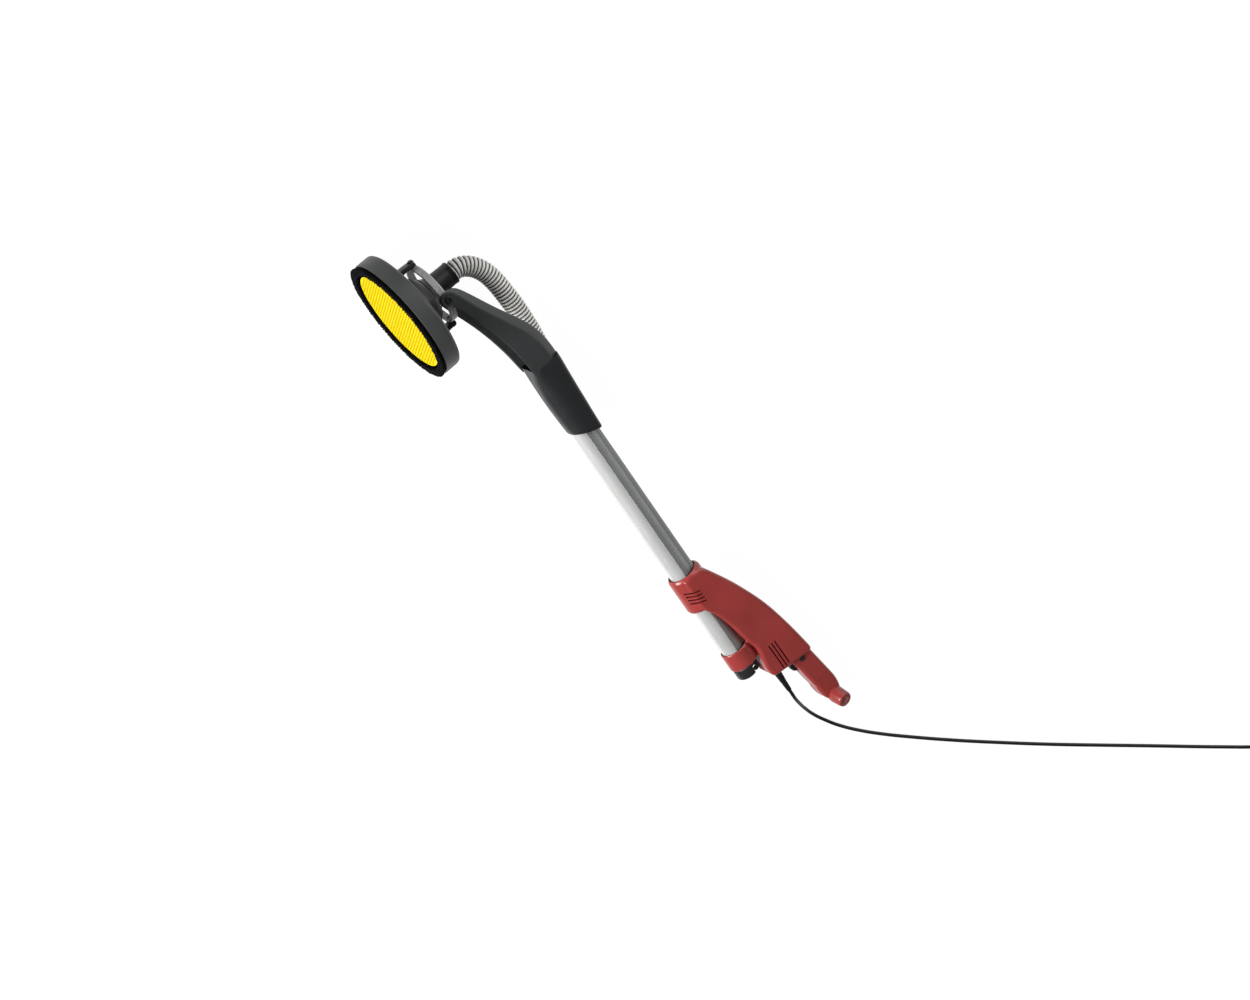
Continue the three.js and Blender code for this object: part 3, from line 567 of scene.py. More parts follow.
# The lead's points are moved so that it starts where the strain relief ends.
EXIT = place(1240.9, 232) / MM
LEAD_SHIFT = Vector((EXIT.x - LEAD_ROUTE[0][0], EXIT.y - LEAD_ROUTE[0][1], 0))
COIL_R = 46
COIL_PITCH = 8.2
# The place of each turn in the coil's section: steps inwards from the outer turn, and layers up.
COIL_CELLS = [(0, 0), (1, 0), (2, 0), (2, 1), (2, 2), (1, 2), (1, 1), (0, 1), (0, 2)]
COIL_IN = -26
COIL_OUT = 57
CHANGE_FIRST = 72
CHANGE_STEP = 18
CHANGE_SPAN = 110
COIL_STEP = 18


def coil_points():
    """The turns of the coil: each slips into its next cell a little before the one under it."""
    points = []
    total = 360 * (len(COIL_CELLS) - 1) + COIL_OUT - COIL_IN
    count = round(total / COIL_STEP)
    for i in range(count + 1):
        angle = COIL_IN + total * i / count
        inward, layer = COIL_CELLS[0]
        for k in range(1, len(COIL_CELLS)):
            begins = 360 * (k - 1) + CHANGE_FIRST + CHANGE_STEP * (len(COIL_CELLS) - 1 - k)
            share = min(1.0, max(0.0, (angle - begins) / CHANGE_SPAN))
            share = share * share * (3 - 2 * share)
            inward += share * (COIL_CELLS[k][0] - COIL_CELLS[k - 1][0])
            layer += share * (COIL_CELLS[k][1] - COIL_CELLS[k - 1][1])
        radius = COIL_R + COIL_PITCH * (1 - inward)
        x = COIL_AT[0] + radius * math.cos(math.radians(angle))
        y = COIL_AT[1] + radius * math.sin(math.radians(angle))
        points.append((x, y, COIL_AT[2] + COIL_PITCH * (layer - 1)))
    return points


def make_lead():
    points = [(Vector(p) + LEAD_SHIFT) * MM for p in LEAD_ROUTE + coil_points() + LEAD_END]
    data = bpy.data.curves.new("lead", "CURVE")
    data.dimensions = "3D"
    data.bevel_depth = LEAD_D / 2 * MM
    data.bevel_resolution = 5
    data.resolution_u = 6
    data.use_fill_caps = True
    spline = data.splines.new("BEZIER")
    spline.bezier_points.add(len(points) - 1)
    for knot, point in zip(spline.bezier_points, points):
        knot.co = point
        knot.handle_left_type = knot.handle_right_type = "AUTO"
    lead = bpy.data.objects.new("lead", data)
    bpy.context.scene.collection.objects.link(lead)
    dress(lead, LEAD, "frame", "rubber", "mains_lead", "lead_coil", "mains_lead_end")
    return lead


# ---- plug

PLUG_AT = (1337, 1016.5, 18.6)
PLUG_TURN = 155.4


def plug_pieces():
    """The plug's grip, with a ribbed neck, and its two pins, drawn along x and then laid on the floor."""
    turn = Matrix.Rotation(math.radians(PLUG_TURN), 4, "Z")
    lay = WORLD @ Matrix.Translation(LEAD_SHIFT + Vector(PLUG_AT)) @ turn
    profile = [(0, 0), (5.6, 0), (6.4, 1)]
    for i in range(4):
        x = 2.2 + 3.4 * i
        wide = 6.8 + 0.45 * i
        profile += [(wide, x), (wide + 0.1, x + 2.0), (wide - 0.7, x + 2.4), (wide - 0.7, x + 3.2)]
    profile += [(9.4, 17.5), (13, 20.6), (16.6, 24.0), (18.0, 27.5), (18.3, 33), (18.3, 50), (17.6, 53),
                (16.4, 54), (0, 54)]
    grip = turned("plug_grip", profile, 56, "u", frame_of=lay)
    split_shading(grip, 40)
    pins = []
    for side in (1, -1):
        pin = [(0, 50), (2.4, 50), (2.4, 71), (1.9, 72.6), (1.1, 73), (0, 73)]
        pins.append(turned("pin", pin, 24, "u", (0, side * 9.5, 0), lay))
    pins = merge("plug_pins", *pins)
    split_shading(pins)
    return grip, pins


PLUG, PINS = plug_pieces()
dress(PLUG, RUBBER, "frame", "rubber", "plug")
dress(PINS, STEEL, "frame", "rubber")

LEAD_PIECE = make_lead()

# ---- sanding pad, brush and hood

DISC_R = 112.5
CELL = 7.5
HOLE_R = 2.25


def abrasive_mesh():
    """The yellow disc: a sheet of six-sided cells, each with a dust hole, over a darker backing."""
    verts, faces = [], []
    reach = int(DISC_R / CELL) + 2

    def rim(u, w):
        far = math.hypot(u, w)
        shrink = min(1.0, DISC_R / far) if far else 1.0
        return (u * shrink, 0.0, w * shrink)

    for row in range(-reach, reach + 1):
        for column in range(-reach, reach + 1):
            cu = CELL * (column + 0.5 * (row % 2))
            cw = CELL * row * math.sqrt(3) / 2
            far = math.hypot(cu, cw)
            if far > DISC_R + CELL / 2:
                continue
            start = len(verts)
            edge = []
            for k in range(12):
                angle = math.pi / 6 * k
                long = CELL / math.sqrt(3) if k % 2 else CELL / 2
                edge.append(rim(cu + long * math.cos(angle), cw + long * math.sin(angle)))
            verts += edge
            if far > DISC_R - HOLE_R - 1:
                verts.append(rim(cu, cw))
                faces += [(start + k, start + (k + 1) % 12, start + 12) for k in range(12)]
                continue
            verts += [(cu + HOLE_R * math.cos(math.pi / 6 * k), 0.0, cw + HOLE_R * math.sin(math.pi / 6 * k))
                      for k in range(12)]
            for k in range(12):
                j = (k + 1) % 12
                faces.append((start + k, start + j, start + 12 + j, start + 12 + k))
    sheet = make("abrasive_sheet", verts, faces, smooth=False)
    modify(sheet, "SOLIDIFY", thickness=0.7 * MM, offset=-1)
    apply(sheet)
    lift_to(sheet, 0.0)
    return sheet


def lift_to(obj, low):
    """Shifts a piece along v so that its lowest point is at a height."""
    back = TOOL.inverted()
    heights = [(back @ v.co).y for v in obj.data.vertices]
    shift = TOOL.to_3x3() @ Vector((0, low - min(heights), 0))
    for vertex in obj.data.vertices:
        vertex.co += shift


sheet = abrasive_mesh()
dress(sheet, ABRASIVE, "pad", "abrasive", "abrasive_disc")
backing = turned("abrasive_backing", [(0, 0.8), (112.2, 0.8), (112.5, 1.0), (112.5, 1.5), (0, 1.5)], 120)
dress(backing, SCREEN_BACK, "pad", "abrasive")

TUFT_ROWS = [(120.4, 170), (123.6, 176), (127.2, 182), (130.8, 186), (134.4, 192)]
TUFT_FOOT = 3.5
# The outermost row stands on the ring's flange, clear of the hood when the brush is pushed in.
FLANGE_R = 132
FLANGE_FOOT = -2.4
TUFT_TIP = -6.0


def bristle_tufts():
    """Rows of tufts that stand out of the brush ring, each a bundle that spreads a little at its tip."""
    dice = random.Random(7)
    verts, faces = [], []
    sides = 6
    for radius, count in TUFT_ROWS:
        foot = TUFT_FOOT if radius < FLANGE_R else FLANGE_FOOT
        for i in range(count):
            turn = 2 * math.pi * (i + dice.uniform(-0.2, 0.2)) / count
            lean_out = dice.uniform(-0.5, 1.2)
            lean_round = dice.uniform(-0.9, 0.9)
            tip = TUFT_TIP + dice.uniform(0.0, 1.1)
            start = len(verts)
            for height, wide, share in ((foot, 1.5, 0.0), (tip + 1.0, 2.15, 0.9), (tip, 1.5, 1.0)):
                cr = radius + lean_out * share
                ca = turn + lean_round * share / radius
                for k in range(sides):
                    angle = 2 * math.pi * k / sides
                    out = cr + wide * math.cos(angle)
                    along = ca + wide * math.sin(angle) / radius
                    verts.append((out * math.cos(along), height, out * math.sin(along)))
            for level in range(2):
                for k in range(sides):
                    j = (k + 1) % sides
                    a, b = start + level * sides, start + (level + 1) * sides
                    faces.append((a + k, a + j, b + j, b + k))
            faces.append(tuple(start + 2 * sides + k for k in range(sides)))
    return make("bristle_tufts", verts, faces, smooth=False)


dress(bristle_tufts(), BRISTLE, "brush", "bristle", "bristle_ring")
ring = turned("bristle_base", [(118.6, 0.5), (119.2, -0.5), (132.0, -2.4), (137.0, -3.4), (137.2, -2.7),
                               (133.6, -2.1), (133.6, 8), (120, 8), (120, 3)], 160)
dress(ring, BRISTLE, "brush", "bristle")

HOOD = [(58, 40.4), (58, 43.3), (60, 43.3), (61, 43.0), (124, 43.0), (128.5, 42.4), (132.5, 41.0),
        (135.6, 38.4), (136.8, 35.0), (137, 31.0), (137, 7.2), (136.6, 5.4), (136.0, 4.3), (134.6, 4.0),
        (134.4, 6), (134.4, 33), (132, 38), (127, 40.4)]
hood = turned("dust_hood_skin", HOOD, 180)
split_shading(hood, 40)
dress(hood, HOOD_GREY, "head", "charcoal_plastic", "dust_hood")

DOME = [(0, 80), (38, 80), (41, 79.2), (44.5, 77), (48.5, 73.2), (53, 67.8), (56.2, 61.5), (58.6, 55.5),
        (60, 49.5), (60.6, 46), (63.5, 45.4), (63.5, 43.4), (56, 43.4), (56, 46), (52, 62), (40, 75), (0, 76)]
dome = turned("suction_dome_skin", DOME, 96)
split_shading(dome, 40)
dress(dome, DOME_GREY, "head", "grey_plastic", "suction_dome")

SLEEVE = [(20, 80.3), (33, 80.3), (33.4, 81.2), (31.5, 83), (28.6, 87), (26.6, 92), (25.4, 99),
          (24.7, 110), (24.4, 118), (24.1, 132), (24.0, 141), (24.6, 141.8), (24.8, 145), (24.2, 146),
          (20.6, 146), (20, 144)]
sleeve = turned("suction_sleeve_skin", SLEEVE, 72, centre=(-8, 0, 0))
split_shading(sleeve, 40)
dress(sleeve, SLEEVE_BLACK, "head", "rubber", "suction_sleeve")

# ---- gimbal and roll brackets


def gimbal_ring():
    profile = [(62.5, 80.8), (67.2, 80.8), (67.9, 81.4)]
    for k in range(4):
        low = 82.3 + 3.1 * k
        profile += [(67.9, low), (68.3, low + 0.5), (68.3, low + 1.9), (67.9, low + 2.3)]
    profile += [(67.6, 95.0), (67.2, 95.4), (62.9, 95.4), (62.5, 95.0)]
    band = turned("band", profile, 120)
    parts = [band]
    for side in (1, -1):
        boss = [(3.5, 60.8), (8.6, 60.8), (8.6, 73.6), (8.0, 74.4), (3.5, 74.4)]
        parts.append(turned("boss", [(r, side * w) for r, w in boss], 40, "w", (0, PIVOT_V, 0)))
        eye = [(3.4, 61.5), (7.6, 61.5), (7.6, 70.6), (7.0, 71.4), (3.4, 71.4)]
        parts.append(turned("eye", [(r, side * u) for r, u in eye], 40, "u", (0, PIVOT_V, 0)))
    ring = merge("gimbal_ring_cast", *parts)
    split_shading(ring, 35)
    return ring


dress(gimbal_ring(), GIMBAL_GREY, "gimbal", "cast_metal", "gimbal_ring")

BRACKET = [(60, 43.3, 3), (82, 43.3, 3), (82.6, 52, 6), (81.6, 66, 8), (80.4, 84, 8), (79, 93.5, 6),
           (70, 93.5, 4), (69.6, 84, 3), (71.5, 74, 6), (72, 62, 7), (68, 54, 5), (60, 51, 4)]
for side, name in ((-1, "front"), (1, "rear")):
    outline = [(side * u, v) for u, v in corners(BRACKET)]
    strap = pillow("strap", outline, 10.5, 1.6, 3)
    boss = turned("boss", [(3.3, side * 69.6), (6.6, side * 69.6), (7.0, side * 70.4), (7.0, side * 80.6),
                           (6.4, side * 81.4), (3.3, side * 81.4)], 40, "u", (0, PIVOT_V, 0))
    bracket = merge(f"roll_bracket_{name}_skin", strap, boss)
    split_shading(bracket, 40)
    dress(bracket, BLACK, "head", "charcoal_plastic", f"roll_bracket_{name}")


SCREW_CHAMFER = 0.7
SOCKET_SHARE = 0.45
SOCKET_DEEP = 1.8


def socket_screw(name, head_r, base, height, axis, centre, side):
    """A screw head with a chamfered rim and a six-sided socket."""
    top = base + height
    head = turned(name, [(0, side * base), (head_r, side * base), (head_r, side * (top - SCREW_CHAMFER)),
                         (head_r - SCREW_CHAMFER, side * top), (0, side * top)], 40, axis, centre)
    socket_r = head_r * SOCKET_SHARE
    bottom = top - SOCKET_DEEP
    well = turned("well", [(0, side * bottom), (socket_r, side * bottom), (socket_r, side * (top + 1)),
                           (0, side * (top + 1))], 6, axis, centre)
    carve(head, well)
    split_shading(head)
    return head


for side, name in ((-1, "front"), (1, "rear")):
    head = socket_screw(f"roll_pin_{name}_head", 5.4, 81.2, 2.2, "u", (0, PIVOT_V, 0), side)
    shank = turned("shank", [(0, side * 60.6), (3.1, side * 60.6), (3.1, side * 81.4), (0, side * 81.4)],
                   24, "u", (0, PIVOT_V, 0))
    pin = merge(f"roll_pin_{name}_screw", head, shank)
    split_shading(pin)
    dress(pin, BLACK_STEEL, "head", "steel", f"roll_pin_{name}")

# ---- fork arms

FORK_W = 80
FORK_TAPER = 0.168
# Along each arm: the upper corner, the fold where the sloping top meets the flat side, and the lower edge.
ARM = [
    ((-12.6, 95), (-12.6, 92), (-12.6, 83)), ((-10.5, 105), (-11.4, 98), (-10.6, 77.5)),
    ((-6, 114), (-8.6, 102), (-6.4, 74.6)), ((1, 120.5), (-3, 106), (0, 73.8)),
    ((10, 126), (6, 110.5), (8, 79)), ((24, 133.5), (20, 116), (19, 89.5)),
    ((44, 143.4), (40, 124), (36, 98)), ((66, 154), (62, 133.6), (60, 106)),
    ((92, 167), (88, 146), (87, 115.2)), ((118, 181), (115, 159.5), (112, 125)),
    ((143, 195), (140, 172), (138, 133.6)), ((170, 208.5), (168, 185.5), (166, 141.4)),
    ((200, 218.5), (199, 197), (197, 148)), ((232, 223.6), (231, 203.6), (230, 153.4)),
    ((261.5, 225.5), (261.5, 206), (261.5, 155.6)), ((274, 225.6), (274, 207), (274, 158)),
]


def fork_arm(side):
    """A pressed arm: a flat side, a wide sloping top and a turned-in lip, open on its inner side."""
    verts, faces = [], []
    for top, fold, foot in ARM:
        middle = ((fold[0] + foot[0]) / 2, (fold[1] + foot[1]) / 2)
        near_top = (top[0] * 0.93 + fold[0] * 0.07, top[1] * 0.93 + fold[1] * 0.07)
        near_fold = (top[0] * 0.08 + fold[0] * 0.92, top[1] * 0.08 + fold[1] * 0.92)
        spots = [
            (top, 61.5), (top, 65.0), (near_top, 67.0), (near_fold, 78.6),
            ((fold[0], fold[1] - 1.2), FORK_W - 0.2), (middle, FORK_W), ((foot[0], foot[1] + 2.2), FORK_W),
            ((foot[0], foot[1] + 0.8), FORK_W - 0.4), (foot, FORK_W - 1.4),
        ]
        for (u, v), w in spots:
            verts.append((u, v, side * (w - FORK_TAPER * max(u, -13))))
    wide = 9
    for i in range(len(ARM) - 1):
        for k in range(wide - 1):
            faces.append((i * wide + k, i * wide + k + 1, (i + 1) * wide + k + 1, (i + 1) * wide + k))
    arm = make("arm", verts, faces)
    inward = Vector(TOOL.to_3x3() @ Vector((0, 0, -side)))
    toward = sum((face.normal.dot(inward) for face in arm.data.polygons)) > 0
    if toward:
        arm.data.flip_normals()
    modify(arm, "SUBSURF", levels=1, render_levels=1)
    modify(arm, "SOLIDIFY", thickness=3.2 * MM, offset=-1, use_even_offset=True)
    apply(arm)
    return arm


def pivot_pad(side):
    profile = [(4.4, 73.8), (15.5, 73.8), (15.5, 80.4), (14.8, 81.4), (9.8, 81.4), (9.4, 80.9), (8.6, 80.9),
               (8.2, 81.4), (4.4, 81.4)]
    return turned("pad", [(r, side * w) for r, w in profile], 56, "w", (0, PIVOT_V, 0))


for side, name in ((1, "right"), (-1, "left")):
    arm = merge(f"fork_arm_{name}_skin", fork_arm(side), pivot_pad(side))
    split_shading(arm, 30)
    dress(arm, CHARCOAL, "frame", "charcoal_plastic", f"fork_arm_{name}")
    cap = socket_screw("cap", 7.2, 81.6, 3.0, "w", (0, PIVOT_V, 0), side)
    stem = turned("stem", [(0, side * 61), (3.2, side * 61), (3.2, side * 81.6), (0, side * 81.6)], 24, "w",
                  (0, PIVOT_V, 0))
    screw = merge(f"pitch_screw_{name}_black", cap, stem)
    split_shading(screw)
    dress(screw, BLACK_STEEL, "frame", "steel", f"pitch_screw_{name}")

# ---- neck

SEAM = 0.7
# Along the neck: its place, the lowest and highest v, half its width, how far its top leans back, and how
# round its underside is.
NECK = [
    (262, 158.5, 226.5, 36.0, 0.0, 0.30), (272, 156.5, 226.3, 36.0, 0.0, 0.42),
    (286, 154, 225.6, 35.9, 0.0, 0.60), (300, 152.4, 224.6, 35.7, 0.0, 0.75),
    (335, 150.6, 222.4, 35.4, 0.0, 0.92), (370, 150.8, 220.6, 35.1, 0.0, 0.95),
    (400, 152.0, 218.6, 34.9, 0.06, 0.95), (418, 153.0, 217.2, 34.7, 0.20, 0.95),
    (428, 153.6, 216.4, 34.4, 0.34, 0.95), (431, 154.8, 215.4, 33.4, 0.37, 0.95),
]
NECK_SIDES = 80
# How square the upper half is: 1 is an ellipse, and less is squarer.
NECK_SQUARE = 0.36


def neck_section(low, high, half, soft):
    """A closed curve of v and w: square above, rounder below, with a seam at the top and the bottom."""
    points = []
    middle = low + half
    for i in range(NECK_SIDES):
        angle = 2 * math.pi * i / NECK_SIDES
        c, s = math.cos(angle), math.sin(angle)
        if s < 0:
            v = middle - (middle - low) * abs(s) ** soft
            w = half * math.copysign(abs(c) ** soft, c)
        else:
            v = middle + (high - middle) * abs(s) ** NECK_SQUARE
            w = half * math.copysign(abs(c) ** NECK_SQUARE, c)
        if i in (NECK_SIDES // 4, 3 * NECK_SIDES // 4):
            v += SEAM if s < 0 else -SEAM
        points.append((v, w))
    return points


def neck_shell():
    verts, faces = [], []
    count = NECK_SIDES
    for u, low, high, half, lean, soft in NECK:
        verts += [(u + lean * (v - low), v, w) for v, w in neck_section(low, high, half, soft)]
    for k in range(len(NECK) - 1):
        for i in range(count):
            j = (i + 1) % count
            faces.append((k * count + i, k * count + j, (k + 1) * count + j, (k + 1) * count + i))
    shell = make("neck_shell_skin", verts, faces)
    modify(shell, "SOLIDIFY", thickness=2.6 * MM, offset=-1, use_even_offset=True)
    apply(shell)
    return shell


neck = neck_shell()
split_shading(neck, 40)
dress(neck, NECK_BLACK, "frame", "black_plastic", "neck_shell_right", "neck_shell_left")

# ---- pole

POLE_V = 180
POLE_R = 25
POLE_U0 = 290
POLE_U1 = 1112
DUCT_R = 20.3
DUCT_V = 178.4


def pole_half(spare=0.0):
    """One side of the pole's section from its top to its underside, as (v, w) from the lobe's middle."""
    crown = [(32, 0), (32, 3.2), (31.4, 3.6), (31.4, 6.2), (32, 6.6), (32, 10.6), (31.3, 12.2), (30, 13.2)]
    flank = [(24, 14.9), (18.6, 16.4), (17.9, 16.9), (17.5, 18.3), (16.4, 19.2), (9, 21.8), (2.4, 24.0)]
    groove = [(1.6, 24.0), (1.2, 22.9), (-0.6, 22.9), (-1.0, 24.4)]
    turns = [math.radians(angle) for angle in range(94, 181, 4)]
    lobe = [(POLE_R * math.cos(turn), POLE_R * math.sin(turn)) for turn in turns]
    points = crown + flank + groove + lobe + [(-POLE_R, 0)]
    if spare == 0:
        return points
    return [(v * (1 + spare / 29), w * (1 + spare / 20)) for v, w in crown + flank + lobe + [(-POLE_R, 0)]]


def pole_ring(spare=0.0):
    half = pole_half(spare)
    return [(POLE_V + v, w) for v, w in half] + [(POLE_V + v, -w) for v, w in half[-2:0:-1]]


def pole_bar(name, u0, u1, spare=0.0):
    ring = pole_ring(spare)
    return along_u(name, [(ring, u0), (ring, u1)])


def pole():
    bar = pole_bar("pole_extrusion", POLE_U0, POLE_U1)
    before, after = POLE_U0 - 5, POLE_U1 + 5
    bore = [(0, before), (DUCT_R, before), (DUCT_R, after), (0, after)]
    duct = turned("duct", bore, 48, "u", (0, DUCT_V, 0))
    hollow = [(200.6, -9), (200.6, 9), (210.4, 7.5), (210.4, -7.5)]
    carve(bar, duct, along_u("channel", [(hollow, before), (hollow, after)]))
    # The upper channel starts inside the neck, and the flexible shaft leaves it under the upper collar.
    front = block("front", before, 372, 199.5, 230, -30, 30)
    window = block("window", 800, 905, 200.6, 230, -6.6, 6.6)
    carve(bar, front, window)
    split_shading(bar, 25)
    return bar


def paint_channel_shade(bar):
    """The faces above the groove get a darker grey as painted shade, on the side away from the key light."""
    bar.data.materials.append(CHANNEL_PAINTED_SHADE)
    back = TOOL.inverted()
    for face in bar.data.polygons:
        # Painted shade on the upper faces.
        if (back @ face.center).y > POLE_V + 1.3:
            face.material_index = 1


extrusion = dress(pole(), ALUMINIUM, "frame", "aluminium", "pole_tube")
paint_channel_shade(extrusion)

SOCKET_V = 178


def end_socket():
    """The vacuum socket: a short tube whose bayonet hook stands on its upper side."""
    wall = [(19.5, 1112.4), (25, 1112.4), (25, 1133.6), (24.4, 1135.6), (23.2, 1136.8), (20.6, 1136.8),
            (19.5, 1135.6)]
    tube = turned("end_socket_skin", wall, 96, "u", (0, SOCKET_V, 0))
    carve(tube, block("mouth", 1120.5, 1150, SOCKET_V + 9, 230, -40, 40))
    hook = corners([(1112.6, 188, 0), (1112.6, 203.5, 2), (1131, 203.5, 8), (1137.5, 196, 6),
                    (1134.5, 188.5, 3), (1129, 190.5, 3), (1129.5, 195.5, 4), (1121.5, 196.5, 4),
                    (1120.5, 189, 2), (1126, 186, 2), (1126, 183, 2), (1112.6, 183, 0)])
    parts = [tube]
    for side in (1, -1):
        parts.append(slab("hook", hook, side * 10.5, side * 17.5))
    socket = merge("end_socket_skin", *parts)
    split_shading(socket, 35)
    return socket


dress(end_socket(), SOCKET_BLACK, "frame", "charcoal_plastic", "end_socket")

# ---- suction hose and drive shaft

HOSE = [(-8, 146.3, 0), (-8, 152, 0), (-6, 163, 0), (2, 177, 0), (17, 191, 0), (38, 202, 0), (68, 209, 0),
        (105, 212, 0), (150, 213.5, 0), (195, 212, 0), (230, 208.5, 0), (252, 204, 0), (258.3, 201.6, 0)]
HOSE_R = 21.5
HOSE_PITCH = 7.8
RING_STEPS = 10
HOSE_SIDES = 40
GIMBAL_POINT = 0.30


def rib(share):
    """The corrugated hose's radius within one pitch."""
    wave = 0.5 + 0.5 * math.cos(2 * math.pi * share)
    return HOSE_R - 3.0 * (1 - wave) ** 1.4


def paint_groove_shade(part):
    """The bottoms of the grooves get a dark colour as painted shade; the crests keep the hose's own colour.
    """
    part.data.materials.append(HOSE_GROOVE_PAINTED_SHADE)
    for index, face in enumerate(part.data.polygons):
        step = (index // HOSE_SIDES) % RING_STEPS
        # Painted shade on the faces around each groove's bottom.
        if 3 <= step <= 6:
            face.material_index = 1


def hose_halves():
    path = smooth_path(HOSE, HOSE_PITCH / RING_STEPS)
    radii = [rib(i / RING_STEPS) for i in range(len(path))]
    split = round(len(path) * GIMBAL_POINT / RING_STEPS) * RING_STEPS
    lower = sweep("hose_head_side", path[:split + 1], radii[:split + 1], HOSE_SIDES, False)
    upper = sweep("hose_neck_side", path[split:], radii[split:], HOSE_SIDES, False)
    for part, body_a, body_b, start, end in (
        (lower, "gimbal", "head", path[split], path[4]),
        (upper, "frame", "gimbal", path[-4], path[split]),
    ):
        dress(part, HOSE_LOOK, None, "hose_plastic", "suction_hose")
        paint_groove_shade(part)
        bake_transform(part)


hose_halves()

FLEX = [(923, 232.4, 0), (905, 228, 0), (875, 217, 0), (845, 208.5, 0), (800, 205.5, 0), (700, 205.5, 0),
        (550, 205.5, 0), (420, 205.5, 0), (385, 205.5, 0), (355, 206, -4), (325, 206, -15), (295, 203, -25),
        (262, 197, -26.8), (228, 184, -25), (185, 166, -20), (140, 151, -14), (95, 138, -7), (62, 126, -2),
        (43, 112, 0), (33, 99, 0), (30.5, 89, 0)]
FLEX_R = 4.5
FLEX_SPLIT = 62


def drive_shaft():
    path = smooth_path(FLEX, 2.4)
    radii = [FLEX_R - 0.35 * (i % 2) for i in range(len(path))]
    split = next(i for i, point in enumerate(path) if point.x < FLEX_SPLIT)
    lower = sweep("drive_shaft_head_side", path[split:], radii[split:], 16)
    upper = sweep("drive_shaft_pole_side", path[:split + 1], radii[:split + 1], 16)
    dress(lower, RUBBER, None, "rubber", "flex_shaft")
    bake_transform(lower)
    dress(upper, RUBBER, None, "rubber", "flex_shaft")
    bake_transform(upper)


drive_shaft()

# ---- motor housing and grip

BODY_W = 35
GRIP_W = 22
BODY = [(848, 213, 10), (866, 225.5, 14), (928, 256, 30), (1015, 289, 40), (1100, 307, 40), (1182, 319, 12),
        (1182, 300, 8), (1178, 262, 8), (1171, 212, 10), (1145, 208, 10), (1090, 217, 14),
        (1061, 208, 14), (1002, 197, 20), (957, 184, 16), (930, 165, 14), (850, 165, 6)]
GRIP = [(1110, 303, 10), (1172, 315.5, 20), (1227, 323, 20), (1283, 331, 16), (1314, 326.5, 12),
        (1325, 306, 12), (1318, 291, 8), (1302, 283, 8), (1280, 280, 6), (1272, 281, 4), (1243, 276, 10),
        (1209, 271.5, 8), (1184, 266, 6), (1150, 262, 6), (1110, 262, 10)]
COLLAR_V = 185.8
VENT_WIDE = 3.6
VENT_LEAN = 12


def collar(name, u0, u1, half_v, half_w, middle, lip):
    """A sleeve around the pole with rounded ends."""
    end = oval(half_v - lip, half_w - lip, middle)
    shoulder = oval(half_v - lip * 0.3, half_w - lip * 0.3, middle)
    full = oval(half_v, half_w, middle)
    rings = [(end, u0), (shoulder, u0 + lip * 0.35), (full, u0 + lip),
             (full, u1 - lip), (shoulder, u1 - lip * 0.35), (end, u1)]
    return along_u(name, rings)


def housing_cutters():
    """Vent slots, the trigger's slot and the lead's hole, which don't touch each other."""
    cutters = []
    for side in (1, -1):
        for i in range(4):
            # The collar's slots lean back a little as they rise.
            u = 876 + 9.1 * i
            low_end = [(u, 154), (u + VENT_WIDE, 154)]
            high_end = [(u + VENT_WIDE + VENT_LEAN, 187), (u + VENT_LEAN, 187)]
            slot_shape = rounded(low_end + high_end, 1.2, 3)
            cutters.append(slab("vent", slot_shape, side * 10, side * 60))
        for i in range(3):
            v = 238 + 8.3 * i
            slot_shape = rounded([(1102, v), (1169, v + 1), (1169, v + 4.2), (1102, v + 3.2)], 1.4, 3)
            cutters.append(slab("vent", slot_shape, side * 29, side * 60))
    cutters.append(block("trigger_way", 1186.5, 1218.5, 252, 297, -7.8, 7.8))
    cutters.append(turned("lead_way", [(0, 1150), (9.2, 1150), (9.2, 1200), (0, 1200)], 32, "u", (0, 232, 0)))
    cutters.append(turned("lock_way", [(0, 14), (6.6, 14), (6.6, 40), (0, 40)], 32, "w", (1190, 290, 0)))
    return merge("cutters", *cutters)


def housing():
    body = pillow("body", corners(BODY), BODY_W, 7, 5)
    grip = pillow("grip", corners(GRIP), GRIP_W, 7, 5)
    upper = collar("upper", 843, 938, 39.3, BODY_W, COLLAR_V, 9)
    lower = collar("lower", 1063, POLE_U1 - 0.4, 35.5, 30, 186, 4)
    web = slab("web", [(1066, 200), (1110, 196), (1110, 222), (1068, 226)], -13, 13)
    skin = fuse("housing_skin", body, grip, upper, lower, web, voxel=1.6, smooth=3)
    carve(skin, pole_bar("room", 800, 1200, 0.5), housing_cutters())
    # A wide mouth in front of the upper collar, and the lower collar's mouth, take the dark seals.
    ends = []
    for u0, u1, half_v, half_w, middle in ((835, 851, 32, 28.5, 184), (1055, 1068.5, 31, 27, 184)):
        outer, inner = oval(half_v + 2.5, half_w + 2.5, middle), oval(half_v, half_w, middle)
        ends.append(along_u("mouth", [(outer, u0), (inner, u1)]))
    carve(skin, *ends)
    return skin


skin = housing()
split_shading(skin, 45)
dress(skin, RED, "frame", "red_plastic", "housing_right", "housing_left")

# A black lining lies behind the vents.
lining = oval(31.5, 29, 184.5)
liner = along_u("collar_liner", [(lining, 853), (lining, 930)])
carve(liner, pole_bar("room", 800, 1200, 0.4))
dress(liner, BLACK, "frame", "black_plastic")
for side, name in ((1, "right"), (-1, "left")):
    panel = corners([(1098, 234, 3), (1173, 234, 3), (1173, 264, 3), (1098, 264, 3)])
    grille = slab(f"vent_back_{name}", panel, side * 27.5, side * 30.2)
    dress(grille, BLACK, "frame", "black_plastic")

